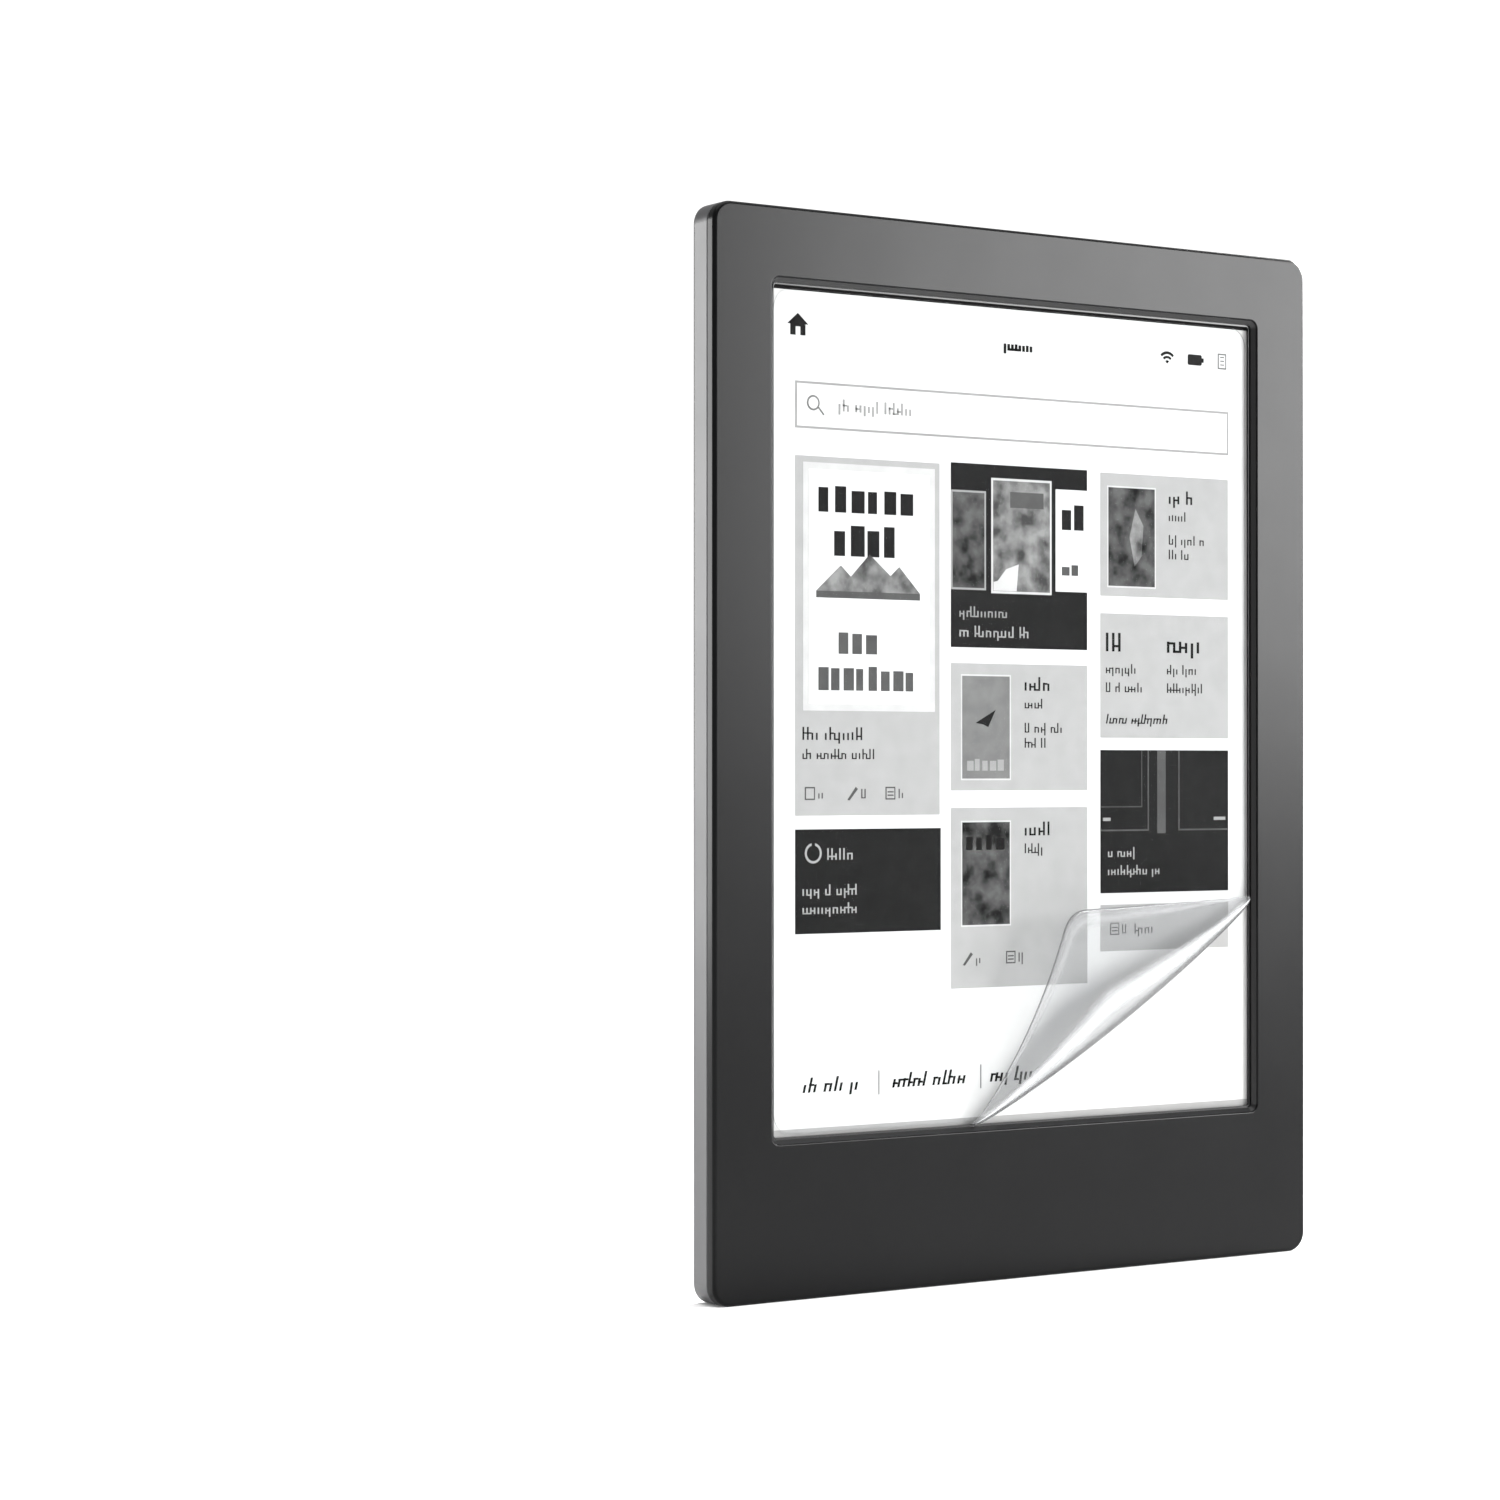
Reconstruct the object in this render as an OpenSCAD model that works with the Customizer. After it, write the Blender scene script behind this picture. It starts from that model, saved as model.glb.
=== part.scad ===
// A slim reader with a six inch paper-like display, standing on its bottom edge.
// The display faces -Y, X runs to the right as the reader sees it, and Z runs up.
// The origin is the middle of the bottom edge, halfway through the thickness.
// Pieces are drawn flat: x to the right, y up the device, and a depth behind the front face.

/* [Body] */
// Width of the closed device
body_w = 113; // [108:1:140]
// Height of the closed device
body_h = 159; // [157:1:195]
// Thickness over the flat middle of the back
body_t = 8.5; // [8.3:0.1:12]
// Thickness at the side edges, where the back facets end
edge_t = 6; // [5.8:0.1:7.4]
// Radius of the four outline corners
corner_r = 3; // [2.7:0.1:6]
// Thickness of the rear cover's side walls
rear_wall = 1.4; // [1.1:0.1:1.8]
// Thickness of the rear cover's floor
rear_floor = 1.2; // [0.8:0.1:1.3]
// Depth of the seam between the front bezel and the rear cover
seam_d = 1.8; // [1.5:0.1:2.2]
// Clearance between the two shells
shell_fit = 0.15; // [0.1:0.05:0.25]

/* [Back facets] */
// Distance of the right ridge from the side edge, at the top
right_ridge_top = 15.2; // [10:0.1:24]
// Distance of the right ridge from the side edge, at the bottom
right_ridge_base = 20.7; // [10:0.1:28]
// Distance of the left ridge from its side edge
left_ridge = 17; // [10:0.1:28]
// Distance from the right side edge to where the top ridge starts
top_ridge_start = 28.2; // [22:0.1:40]
// Distance of the top ridge from the top edge, at the left side edge
top_ridge_depth = 15.7; // [10:0.1:24]

/* [Front bezel] */
// Thickness of the bezel plate
bezel_t = 1.4; // [1.2:0.1:1.4]
// Width of the window at the front face
window_w = 92.8; // [92.6:0.1:95]
// Height of the window at the front face
window_h = 125.8; // [125.4:0.1:128]
// Height of the window's lower edge above the bottom edge
window_base = 22.8; // [22.4:0.1:26]
// Width of the sloped border inside the window
window_slope_w = 0.9; // [0.4:0.1:0.9]
// Depth of the sloped border inside the window
window_slope_d = 1; // [0.6:0.1:1.1]
// Thickness of the lip that locates the rear cover
lip_t = 0.9; // [0.7:0.1:1.1]
// Depth that the lip reaches behind the front face
lip_d = 2.8; // [2.2:0.1:3]
// Width of one snap hook
hook_w = 6; // [4:0.5:9]
// Depth that a snap hook reaches behind the front face
hook_d = 4.3; // [3.6:0.1:4.3]
// How far a hook's bead stands out of its face
bead = 0.35; // [0.25:0.05:0.45]
// Diameter of a screw post
post_dia = 3.6; // [3:0.1:4]

/* [Display] */
// Width of the area that shows the page
active_w = 90.6; // [88:0.1:90.8]
// Height of the area that shows the page
active_h = 122.4; // [120:0.1:122.6]
// Height of the page area above the window's lower edge
active_base = 1.8; // [1.6:0.1:2.2]
// Width of the panel glass
panel_w = 101.8; // [98:0.1:102.4]
// Height of the glass ledge under the page area
panel_ledge = 12.5; // [11.5:0.1:12.6]
// Height of the glass margin over the page area
panel_head = 3.5; // [2.5:0.1:3.6]
// Thickness of the display's front laminate
laminate_t = 0.5; // [0.4:0.05:0.6]
// Thickness of the display's rear glass
glass_t = 0.5; // [0.4:0.05:0.6]
// Thickness of the gasket behind the bezel
gasket_t = 0.2; // [0.15:0.05:0.3]
// Thickness of the touch sensor
touch_t = 0.3; // [0.2:0.05:0.4]
// Thickness of the light guide
guide_t = 0.5; // [0.4:0.05:0.6]
// Number of front light lamps
lamp_count = 9; // [5:1:11]

/* [Chassis] */
// Thickness of the chassis plate
chassis_t = 0.7; // [0.5:0.05:0.8]
// Gap between the chassis and the lip
chassis_gap = 0.2; // [0.1:0.05:0.4]
// Height of the board standoffs
standoff_h = 0.5; // [0.4:0.05:0.8]
// Diameter of a board standoff
standoff_dia = 4; // [3.4:0.1:4.4]
// Diameter of a screw's shank
screw_dia = 1.4; // [1.2:0.1:1.6]
// Diameter of a screw's head
head_dia = 2.8; // [2.4:0.1:3]
// Height of a screw's head
head_t = 0.6; // [0.4:0.05:0.7]

/* [Main board] */
// Width of the board
board_w = 84; // [84:1:88]
// Thickness of the board
board_t = 0.8; // [0.6:0.1:1]
// Height of the board's lower edge above the bottom edge
board_base = 14; // [13.6:0.1:15]
// Height of the board's upper edge above the bottom edge
board_top = 46; // [46:0.5:48]
// Height of the shield can
can_t = 1.6; // [1.4:0.1:1.7]

/* [Battery] */
// Width of the cell
cell_w = 62; // [50:1:66]
// Height of the cell
cell_h = 66; // [50:1:78]
// Thickness of the cell
cell_t = 2.8; // [2.2:0.1:2.9]

/* [Charging port] */
// Width of the port shell
port_w = 7.7; // [7.4:0.1:8.4]
// Thickness of the port shell
port_t = 2.75; // [2.5:0.05:3]
// Length of the port shell
port_len = 5.6; // [5:0.1:6.5]
// Sheet thickness of the port shell
port_sheet = 0.25; // [0.2:0.05:0.3]
// Depth of the port's centre behind the front face
port_d = 4.9; // [4.85:0.05:5.1]
// Clearance of the cover's opening round the shell
port_fit = 0.2; // [0.1:0.05:0.3]

/* [Buttons] */
// Distance of the power button's centre from the middle of the top edge
button_x = 30; // [28:0.5:32]
// Width of the power button
button_w = 9; // [6:0.5:10]
// Thickness of the power button
button_t = 1.8; // [1.4:0.1:2]
// How far the power button stands out of the top edge
button_proud = 0.3; // [0.1:0.05:0.6]
// Travel of the power button and of its switch
button_travel = 0.3; // [0.2:0.05:0.4]
// Running clearance round the moving buttons
button_fit = 0.08; // [0.05:0.01:0.1]
// Travel of the reset switch
reset_travel = 0.25; // [0.15:0.05:0.3]
// Distance of the reset pinhole from the middle of the bottom edge
reset_x = 14; // [12:0.5:15]
// Diameter of the reset pinhole
reset_dia = 1.1; // [0.8:0.1:1.4]
// Distance of the light pipe from the middle of the top edge
lamp_x = 20; // [19:0.5:21]
// Diameter of the light pipe
lamp_dia = 1.5; // [1:0.1:1.8]

/* [Screen film] */
// Width of the clear film
film_w = 90.4; // [88:0.1:90.6]
// Height of the clear film
film_h = 123.3; // [118:0.1:123.4]
// Thickness of the clear film
film_t = 0.2; // [0.1:0.05:0.25]
// Width of the peeled corner along the film's lower edge
peel_w = 55; // [45:1:60]
// Height of the peeled corner along the film's right edge
peel_h = 33; // [26:1:36]
// Radius of the curl
curl_r = 2; // [1.2:0.1:3]
// Rise of the folded flap, in degrees
flap_rise = 8; // [4:1:14]
// Radius of the film's corners
film_corner_r = 3; // [1:0.5:4]

/* [Hidden] */

round_fn = 48;
over = 1;
air = 0.05;
least_r = 0.3;

// Depths behind the front face, from the front to the back.
gasket_d = bezel_t;
touch_d = gasket_d + gasket_t;
guide_d = touch_d + touch_t;
panel_d = guide_d + guide_t;
glass_d = panel_d + laminate_t;
chassis_d = glass_d + glass_t;
chassis_rear = chassis_d + chassis_t;
board_d = chassis_rear + standoff_h;
board_rear = board_d + board_t;
floor_d = body_t - rear_floor;
tape_t = 0.1;
cell_d = chassis_rear + tape_t;
cell_rear = cell_d + cell_t;

// Slopes of the back facets, from how far each falls over its width.
facet_fall = body_t - edge_t;
right_slope = atan(2 * facet_fall / (right_ridge_top + right_ridge_base));
left_slope = atan(facet_fall / left_ridge);
top_slope = atan(facet_fall / top_ridge_depth);

// Window and display, as heights above the bottom edge.
window_mid = window_base + window_h / 2;
inner_w = window_w - 2 * window_slope_w;
inner_h = window_h - 2 * window_slope_w;
page_base = window_base + active_base;
page_top = page_base + active_h;
panel_base = page_base - panel_ledge;
panel_top = page_top + panel_head;
stack_gap = 0.3;
stack_w = panel_w - 2 * stack_gap;
stack_top = panel_top - stack_gap;
laminate_base = page_base - 2.6;
guide_base = page_base - 4.6;
touch_base = page_base - 10;
strip_top = laminate_base - 0.4;
panel_play = 0.2;
driver_base = laminate_base - 5;
driver_pitch = 28;

// Rings inside the outline, from the outside in.
lip_in = rear_wall + shell_fit;
chassis_in = lip_in + lip_t + chassis_gap;
top_inner = body_h - rear_wall;

// Screw places on the chassis and on the board.
post_x = body_w / 2 - 8.5;
post_low = 7.5;
post_high = body_h - 5.1;
post_play = 0.2;
post_skin = 0.3;
POSTS = [[-post_x, post_low], [post_x, post_low], [-post_x, post_high], [0, post_high], [post_x, post_high]];
standoff_in = 3.5;
STANDOFFS = [
    [standoff_in - board_w / 2, board_top - standoff_in],
    [27.5, board_top - standoff_in],
    [-7, board_base - standoff_in + 0.5],
    [17, board_base - standoff_in]
];
screw_play = 0.02;
hole_play = 0.25;
tip_gap = 0.2;

// Snap hooks: their places along the sides, the top and the bottom, and the bead on each.
SIDE_HOOKS = [0.22, 0.53, 0.84];
TOP_HOOKS = [-36, -6];
BASE_HOOKS = [-32, 32];
bead_len = 0.8;
bead_end = 0.1;
bead_play = 0.1;
hook_play = 0.2;
bead_front = hook_d - bead_end - bead_len;

// Flexible strips: where each one crosses the chassis and meets its connector.
flex_t = 0.12;
flex_hold = 2.9;
flex_bend = 0.8;
flex_turn_h = 10.9;
flex_rear_d = board_rear + 0.5;
flex_end_h = board_base + 3;
display_flex_x = -25;
display_flex_w = 26;
touch_flex_x = 25.5;
touch_flex_w = 7;
light_flex_x = 36;
light_flex_w = 6;
slot_h = 1.9;
connector_len = 3.5;
connector_t = 1;
connector_side = 0.9;

// Board tab that carries the port and the reset switch.
tab_left = -10;
tab_right = 20;
tab_base = 3.2;
board_notch_w = port_w + 0.4;
board_notch_top = 8.6;
port_mouth = 0.5;
port_shell_r = 0.6;
tongue_len = 3.1;
tongue_t = 0.65;
tongue_w = 5;
port_block_len = 1.3;
contact_count = 5;
contact_pitch = 0.65;
contact_t = 0.08;

// Chips on the board: the middle in x and the lower edge above the board's own edge, then the size.
processor_at = [-8, 11];
processor_size = [13, 13, 1.1];
memory_at = [6.5, 11.5];
memory_size = [11, 12, 0.9];
can_at = [-1, 8.5];
can_size = [30, 18];
can_sheet = 0.2;
power_chip_at = [-21, 19];
power_chip_size = [6, 6, 0.9];
coil_at = [[-21, 8.9], [-21, 13.8]];
coil_size = [3.6, 3.6, 1.3];
wifi_at = [24.5, 11];
wifi_size = [13, 13, 1.5];
antenna_at = [38.5, 22.5];
antenna_size = [5, 1.6, 1];
sensor_at = [38.5, 11];
sensor_size = [2.9, 1.6, 1];
crystal_at = [35, 16];
crystal_size = [3.2, 2.5, 0.8];
small_part_at = [-7, 1.6];
small_part_size = [1.6, 0.8, 0.6];
small_part_pitch = [2.9, 2.2];
small_part_rows = 2;
small_part_columns = 9;

// Card socket on the board, and the card in it.
socket_x = -34.1;
socket_base = board_base + 10;
socket_sheet = 0.2;
socket_rim = 1.4;
card_play = 0.15;
card_w = 11;
card_len = 15;
card_t = 0.8;
card_base = socket_base + 1.1;

// Power button, its switch and its small board.
button_d = 5.2;
button_r = 0.5;
flange_side = 0.7;
flange_edge = 0.5;
flange_t = 0.6;
flange_top = top_inner - 0.1;
switch_w = 4.6;
switch_len = 2.6;
switch_top = body_h - 4.6;
plunger_w = 2;
plunger_t = 0.8;
plunger_out = 1;
plunger_in = 0.5;
power_board_t = 0.3;
status_lamp_size = [1.6, 0.8, 0.6];
pipe_collar = 0.4;
pipe_drop = 0.2;
power_board_left = lamp_x - 3;
power_board_right = button_x + 9;
power_board_base = body_h - 11.2;
power_flex_x = power_board_right - 3;
power_flex_w = 4;
power_flex_end = board_top - 1;
power_flex_gap = 1.4;

// Reset switch on the board's tab.
reset_body_w = 3.4;
reset_body_len = 2.4;
reset_body_base = 5.4;
reset_body_t = 1.4;
reset_d = board_rear + reset_body_t / 2;
reset_plunger_w = 1;
reset_plunger_t = 0.7;
reset_plunger_out = 1.2;

// Battery group above the board.
socket_size = [8, 1.4];
plug_size = [7.2, 1.2];
plug_len = 3;
plug_lift = 0.1;
lead_dia = 0.9;
lead_pitch = 2;
battery_x = -11;
battery_socket_base = board_top - 4;
lead_base = battery_socket_base + connector_len + plug_len;
lead_len = 6.5;
battery_board_base = lead_base + lead_len;
battery_board_len = 3.3;
battery_board_in = 10;
battery_board_lift = 0.2;
battery_board_t = 1;
cell_base = battery_board_base + battery_board_len + 0.2;
cell_corner_r = 1.2;
tape_w = 10;
tape_in = 3;
foam_in = 6;

// Film: its place in the window, and the line where the corner leaves the display.
film_gap = 0.02;
film_base = window_mid - film_h / 2;
film_mid_d = touch_d - film_gap - film_t / 2;
peel_angle = atan(peel_h / peel_w);
peel_x = film_w / 2 - peel_w;
flap_len = 27;
flap_wrap = 180 - flap_rise;
tip_x = peel_x + 13.6;
tip_h = film_base + peel_h - 1.2;
side_bow_x = peel_x + 7.6;
side_bow_h = film_base + 10.6;

// Puts a piece that is drawn flat into the standing frame.
module stand() {
    translate([0, -body_t / 2, 0]) rotate([90, 0, 0]) children();
}

// Gives a flat outline its depth, from one distance behind the front face to another.
module layer(from, to) {
    translate([0, 0, -to]) linear_extrude(to - from) children();
}

// A block by its middle in x, its lower edge, its front depth, and its size.
module brick(x, h, d, w, l, t) {
    translate([x - w / 2, h, -d - t]) cube([w, l, t]);
}

// Rounded rectangle about its own middle.
module rounded(w, h, r) {
    square([w - 2 * r, h], center = true);
    square([w, h - 2 * r], center = true);
    for (sx = [-1, 1], sy = [-1, 1])
        translate([sx * (w / 2 - r), sy * (h / 2 - r)]) circle(r, $fn = round_fn);
}

// The device's outline, moved inwards by a distance.
module outline(inset) {
    translate([0, body_h / 2])
        rounded(body_w - 2 * inset, body_h - 2 * inset, max(corner_r - inset, least_r));
}

// A rectangle between two heights, about the middle line.
module panel_area(w, low, high) {
    translate([-w / 2, low]) square([w, high - low]);
}

// Removes what lies behind a plane that rises from the ridge p0-p1 to its left side.
module facet_cut(p0, p1, slope, lift) {
    reach = body_w + body_h;
    along = atan2(p1[1] - p0[1], p1[0] - p0[0]);
    translate([p0[0], p0[1], lift - body_t]) rotate([0, 0, along]) rotate([slope, 0, 0])
        translate([-reach, 0, -reach]) cube([2 * reach, reach, reach]);
}

// The back's three facets, raised by a distance for the inside of the cover.
module facets(lift) {
    half = body_w / 2;
    facet_cut([half - right_ridge_top, body_h], [half - right_ridge_base, 0], right_slope, lift);
    facet_cut([left_ridge - half, 0], [left_ridge - half, body_h], left_slope, lift);
    facet_cut([-half, body_h - top_ridge_depth], [half - top_ridge_start, body_h], top_slope, lift);
}

// The volume behind a depth that lies inside the outline and in front of the facets.
module back_volume(inset, lift, from) {
    difference() {
        layer(from, body_t - lift) outline(inset);
        facets(lift);
    }
}

// Places one child at each snap hook, turned so that +y points at the side wall.
module hook_places() {
    for (side = [-1, 1], share = SIDE_HOOKS)
        translate([side * (body_w / 2 - rear_wall), share * body_h]) rotate(-side * 90) children();
    for (x = TOP_HOOKS) translate([x, top_inner]) children();
    for (x = BASE_HOOKS) translate([x, rear_wall]) rotate(180) children();
}

// A hook's bead is a bar on its outer face; the pocket is the same bar with clearance.
module bead_bar(w, out, from, to) {
    translate([-w / 2, -shell_fit - air, -to]) cube([w, out + shell_fit + air, to - from]);
}

// Points of an arc, from one angle to another.
function arc_points(centre, r, a0, a1, steps) =
    [for (i = [0 : steps]) centre + r * [cos(a0 + (a1 - a0) * i / steps), sin(a0 + (a1 - a0) * i / steps)]];

// Rounds the corner b of the path a-b-c by an arc of radius r.
function rounded_corner(a, b, c, r) =
    let (u = (a - b) / norm(a - b), v = (c - b) / norm(c - b), half = acos(u * v) / 2,
         mid = (u + v) / norm(u + v), centre = b + mid * r / sin(half),
         p = b + u * r / tan(half), q = b + v * r / tan(half),
         a0 = atan2(p[1] - centre[1], p[0] - centre[0]), a1 = atan2(q[1] - centre[1], q[0] - centre[0]),
         turn = a1 - a0 > 180 ? a1 - a0 - 360 : a1 - a0 < -180 ? a1 - a0 + 360 : a1 - a0)
    arc_points(centre, r, a0, a0 + turn, 8);

// A path with every inner corner rounded.
function soft_path(p, r) = [
    p[0],
    for (i = [1 : len(p) - 2]) each rounded_corner(p[i - 1], p[i], p[i + 1], r),
    p[len(p) - 1]
];

// The unit normal of a path at one of its points.
function path_normal(p, i) =
    let (a = p[max(i - 1, 0)], b = p[min(i + 1, len(p) - 1)], d = (b - a) / norm(b - a))
    [-d[1], d[0]];

// A strip of even thickness along a path in the plane of height and depth.
module strip(path, x, w, t, bend) {
    p = soft_path(path, bend);
    last = len(p) - 1;
    side_a = [for (i = [0 : last]) p[i] + path_normal(p, i) * t / 2];
    side_b = [for (i = [last : -1 : 0]) p[i] - path_normal(p, i) * t / 2];
    translate([x - w / 2, 0, 0]) rotate([90, 0, 90]) linear_extrude(w)
        polygon([for (q = concat(side_a, side_b)) [q[0], -q[1]]]);
}

// The shared route of a strip that wraps round the chassis to a connector on the board.
function wrap_route(start_h, start_d) =
    [[start_h, start_d], [flex_turn_h, start_d], [flex_turn_h, flex_rear_d], [flex_end_h, flex_rear_d]];

// A chip on the rear face of the board, by its place on the board and its size.
module chip(at, size) {
    brick(at[0], board_base + at[1], board_rear, size[0], size[1], size[2]);
}

// A connector that holds the end of a flexible strip on the board.
module strip_connector(x, base, w) {
    brick(x, base, board_rear, w + 2 * connector_side, connector_len, connector_t);
}

// A screw with its head towards the back and its shank towards the front.
module screw(p, head_front, tip_d) {
    translate([p[0], p[1], -head_front - head_t]) cylinder(d = head_dia, h = head_t, $fn = round_fn);
    translate([p[0], p[1], -head_front - air])
        cylinder(d = screw_dia, h = head_front + air - tip_d, $fn = round_fn);
}

// A hole through a range of depths.
module drill(p, dia, from, to) {
    translate([p[0], p[1], -to]) cylinder(d = dia, h = to - from, $fn = round_fn);
}

// A rounded bar that runs up the device from one height to another, at a depth.
module upright_bar(x, d, w, t, r, low, high) {
    translate([x, low, -d]) rotate([-90, 0, 0]) linear_extrude(high - low) rounded(w, t, r);
}

// The window: a sloped border in front and a straight wall behind it.
module window_cut() {
    widen = window_slope_w / window_slope_d * over;
    function border(half) = [
        [-half - widen, over], [half + widen, over],
        [half - window_slope_w, -window_slope_d], [window_slope_w - half, -window_slope_d]
    ];
    layer(0, seam_d) translate([0, window_mid]) square([inner_w, inner_h], center = true);
    translate([0, window_mid, 0]) intersection() {
        rotate([90, 0, 0]) linear_extrude(body_h, center = true)
            polygon(border(window_w / 2));
        rotate([90, 0, 90]) linear_extrude(body_w, center = true)
            polygon(border(window_h / 2));
    }
}

module front_bezel() {
    color([0.2, 0.2, 0.21]) stand() {
        difference() {
            union() {
                layer(0, bezel_t) outline(0);
                layer(bezel_t - air, seam_d) difference() {
                    outline(0);
                    outline(lip_in);
                }
                layer(bezel_t - air, lip_d) difference() {
                    outline(lip_in);
                    outline(lip_in + lip_t);
                }
                for (p = POSTS) drill(p, post_dia, bezel_t - air, chassis_d);
                hook_places() {
                    brick(0, -shell_fit - lip_t, bezel_t - air, hook_w, lip_t, hook_d - bezel_t + air);
                    bead_bar(hook_w, bead, bead_front, bead_front + bead_len);
                }
            }
            window_cut();
            for (p = POSTS) drill(p, screw_dia + 2 * screw_play, bezel_t + post_skin, chassis_d + over);
        }
    }
}

module rear_cover() {
    color([0.27, 0.27, 0.28]) stand() difference() {
        back_volume(0, 0, seam_d);
        back_volume(rear_wall, rear_floor, seam_d - over);
        hook_places() bead_bar(hook_w + 2 * hook_play, bead + bead_play,
            bead_front - bead_play, bead_front + bead_len + bead_play);
        upright_bar(0, port_d, port_w + 2 * port_fit, port_t + 2 * port_fit, port_shell_r + port_fit,
            -over, rear_wall + over);
        upright_bar(button_x, button_d, button_w + 2 * button_fit, button_t + 2 * button_fit,
            button_r + button_fit, top_inner - over, body_h + over);
        translate([lamp_x, top_inner - over, -button_d]) rotate([-90, 0, 0])
            cylinder(d = lamp_dia + 2 * air, h = rear_wall + 2 * over, $fn = round_fn);
        translate([reset_x, -over, -reset_d]) rotate([-90, 0, 0])
            cylinder(d = reset_dia, h = rear_wall + 2 * over, $fn = round_fn);
    }
}

// The film's whole outline, with rounded corners.
module film_area() {
    translate([0, film_base + film_h / 2]) rounded(film_w, film_h, film_corner_r);
}

// Where the peeled corner lies after it is folded back, seen from the front.
module flap_area() {
    start = [peel_x, film_base];
    bow = [side_bow_x, side_bow_h];
    tip = [tip_x, tip_h];
    end = [film_w / 2, film_base + peel_h];
    side = [for (i = [0 : 10]) let (u = i / 10)
        (1 - u) * (1 - u) * start + 2 * u * (1 - u) * bow + u * u * tip];
    polygon(concat(
        [for (i = [0 : 8]) side[i]],
        rounded_corner(side[8], tip, end, film_corner_r),
        [end, [film_w / 2, film_base]]
    ));
}

// The film's hooked section across the peel line: a curl and the flap that it carries.
module hook_section() {
    end = [-curl_r * sin(flap_wrap), curl_r - curl_r * cos(flap_wrap)];
    translate([0, -film_t / 2]) square([over, film_t]);
    intersection() {
        translate([0, curl_r]) difference() {
            circle(curl_r + film_t / 2, $fn = 2 * round_fn);
            circle(curl_r - film_t / 2, $fn = 2 * round_fn);
        }
        translate([0, curl_r]) polygon(concat([[0, 0]],
            [for (i = [0 : 12]) 3 * curl_r * [-sin(flap_wrap * i / 12), -cos(flap_wrap * i / 12)]]));
    }
    translate(end) rotate(flap_rise) translate([0, -film_t / 2]) square([flap_len, film_t]);
}

module screen_film() {
    film_d0 = film_mid_d - film_t / 2;
    film_d1 = film_mid_d + film_t / 2;
    color([0.85, 0.9, 0.95, 0.4]) stand() {
        layer(film_d0, film_d1) difference() {
            film_area();
            translate([peel_x, film_base]) rotate(peel_angle) translate([-film_w, -film_w])
                square([3 * film_w, film_w]);
        }
        intersection() {
            translate([peel_x, film_base, -film_mid_d]) rotate([0, 0, peel_angle])
                rotate([90, 0, 90]) translate([0, 0, -film_w]) linear_extrude(3 * film_w) hook_section();
            translate([0, 0, -film_d1]) linear_extrude(4 * curl_r + flap_len) flap_area();
        }
    }
}

module screen_gasket() {
    color([0.08, 0.08, 0.09]) stand() layer(gasket_d, gasket_d + gasket_t) difference() {
        panel_area(stack_w, touch_base, stack_top);
        translate([0, window_mid]) square([inner_w + 2 * stack_gap, inner_h + 2 * stack_gap], center = true);
    }
}

module touch_sensor() {
    color([0.93, 0.94, 0.93]) stand()
        layer(touch_d, touch_d + touch_t) panel_area(stack_w, touch_base, stack_top);
}

module light_guide() {
    color([0.85, 0.92, 0.95]) stand()
        layer(guide_d, guide_d + guide_t) panel_area(stack_w, guide_base, stack_top);
}

module epaper_panel() {
    color([0.78, 0.79, 0.78]) stand() {
        layer(panel_d, glass_d) panel_area(panel_w, laminate_base, panel_top);
        layer(glass_d, chassis_d) panel_area(panel_w, panel_base, panel_top);
    }
}

module display_drivers() {
    driver_w = 12;
    driver_h = 1.4;
    driver_t = 0.3;
    color([0.12, 0.12, 0.14]) stand() for (i = [-1 : 1])
        brick(i * driver_pitch, driver_base, glass_d - driver_t, driver_w, driver_h, driver_t);
}

module display_flex() {
    route = wrap_route(panel_base + flex_hold, glass_d - flex_t / 2);
    color([0.75, 0.45, 0.15]) stand() strip(route, display_flex_x, display_flex_w, flex_t, flex_bend);
}

module touch_flex() {
    route = wrap_route(touch_base + flex_hold, guide_d + flex_t / 2);
    color([0.78, 0.5, 0.18]) stand() strip(route, touch_flex_x, touch_flex_w, flex_t, flex_bend);
}

module light_strip() {
    strip_t = 0.1;
    strip_w = active_w + 1;
    route = wrap_route(touch_base + over, panel_d + strip_t / 2);
    color([0.9, 0.9, 0.88]) stand() {
        layer(panel_d, panel_d + strip_t) panel_area(strip_w, touch_base, strip_top);
        strip(route, light_flex_x, light_flex_w, strip_t, flex_bend);
    }
}

module light_lamps() {
    lamp_w = 3;
    lamp_h = 1.1;
    lamp_gap = 0.3;
    lamp_base = guide_base - lamp_gap - lamp_h;
    pitch = active_w / lamp_count;
    color([0.95, 0.85, 0.3]) stand() for (i = [0 : lamp_count - 1])
        brick((i - (lamp_count - 1) / 2) * pitch, lamp_base, guide_d, lamp_w, lamp_h, guide_t);
}

module chassis() {
    rim_d = bezel_t + 0.1;
    pocket_base = panel_base - 2.4;
    slot_base = flex_turn_h - slot_h / 2;
    slot_side = 1;
    port_side = 0.7;
    color([0.55, 0.57, 0.6]) stand() difference() {
        union() {
            layer(rim_d, chassis_rear) outline(chassis_in);
            for (p = STANDOFFS) drill(p, standoff_dia, chassis_rear - air, board_d);
        }
        layer(0, chassis_d) panel_area(panel_w + 2 * panel_play, pocket_base, panel_top + panel_play);
        for (p = POSTS) {
            drill(p, post_dia + 2 * post_play, 0, chassis_d);
            drill(p, screw_dia + 2 * hole_play, 0, chassis_rear + over);
        }
        for (p = STANDOFFS) drill(p, screw_dia + 2 * screw_play, 0, board_d + over);
        brick(display_flex_x, slot_base, 0, display_flex_w + 2 * slot_side, slot_h, board_d);
        brick((touch_flex_x + light_flex_x) / 2, slot_base, 0,
            light_flex_x - touch_flex_x + (touch_flex_w + light_flex_w) / 2 + 2 * slot_side, slot_h, board_d);
        brick(0, 0, 0, port_w + 2 * port_side, board_notch_top + panel_play, board_d);
    }
}

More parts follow.
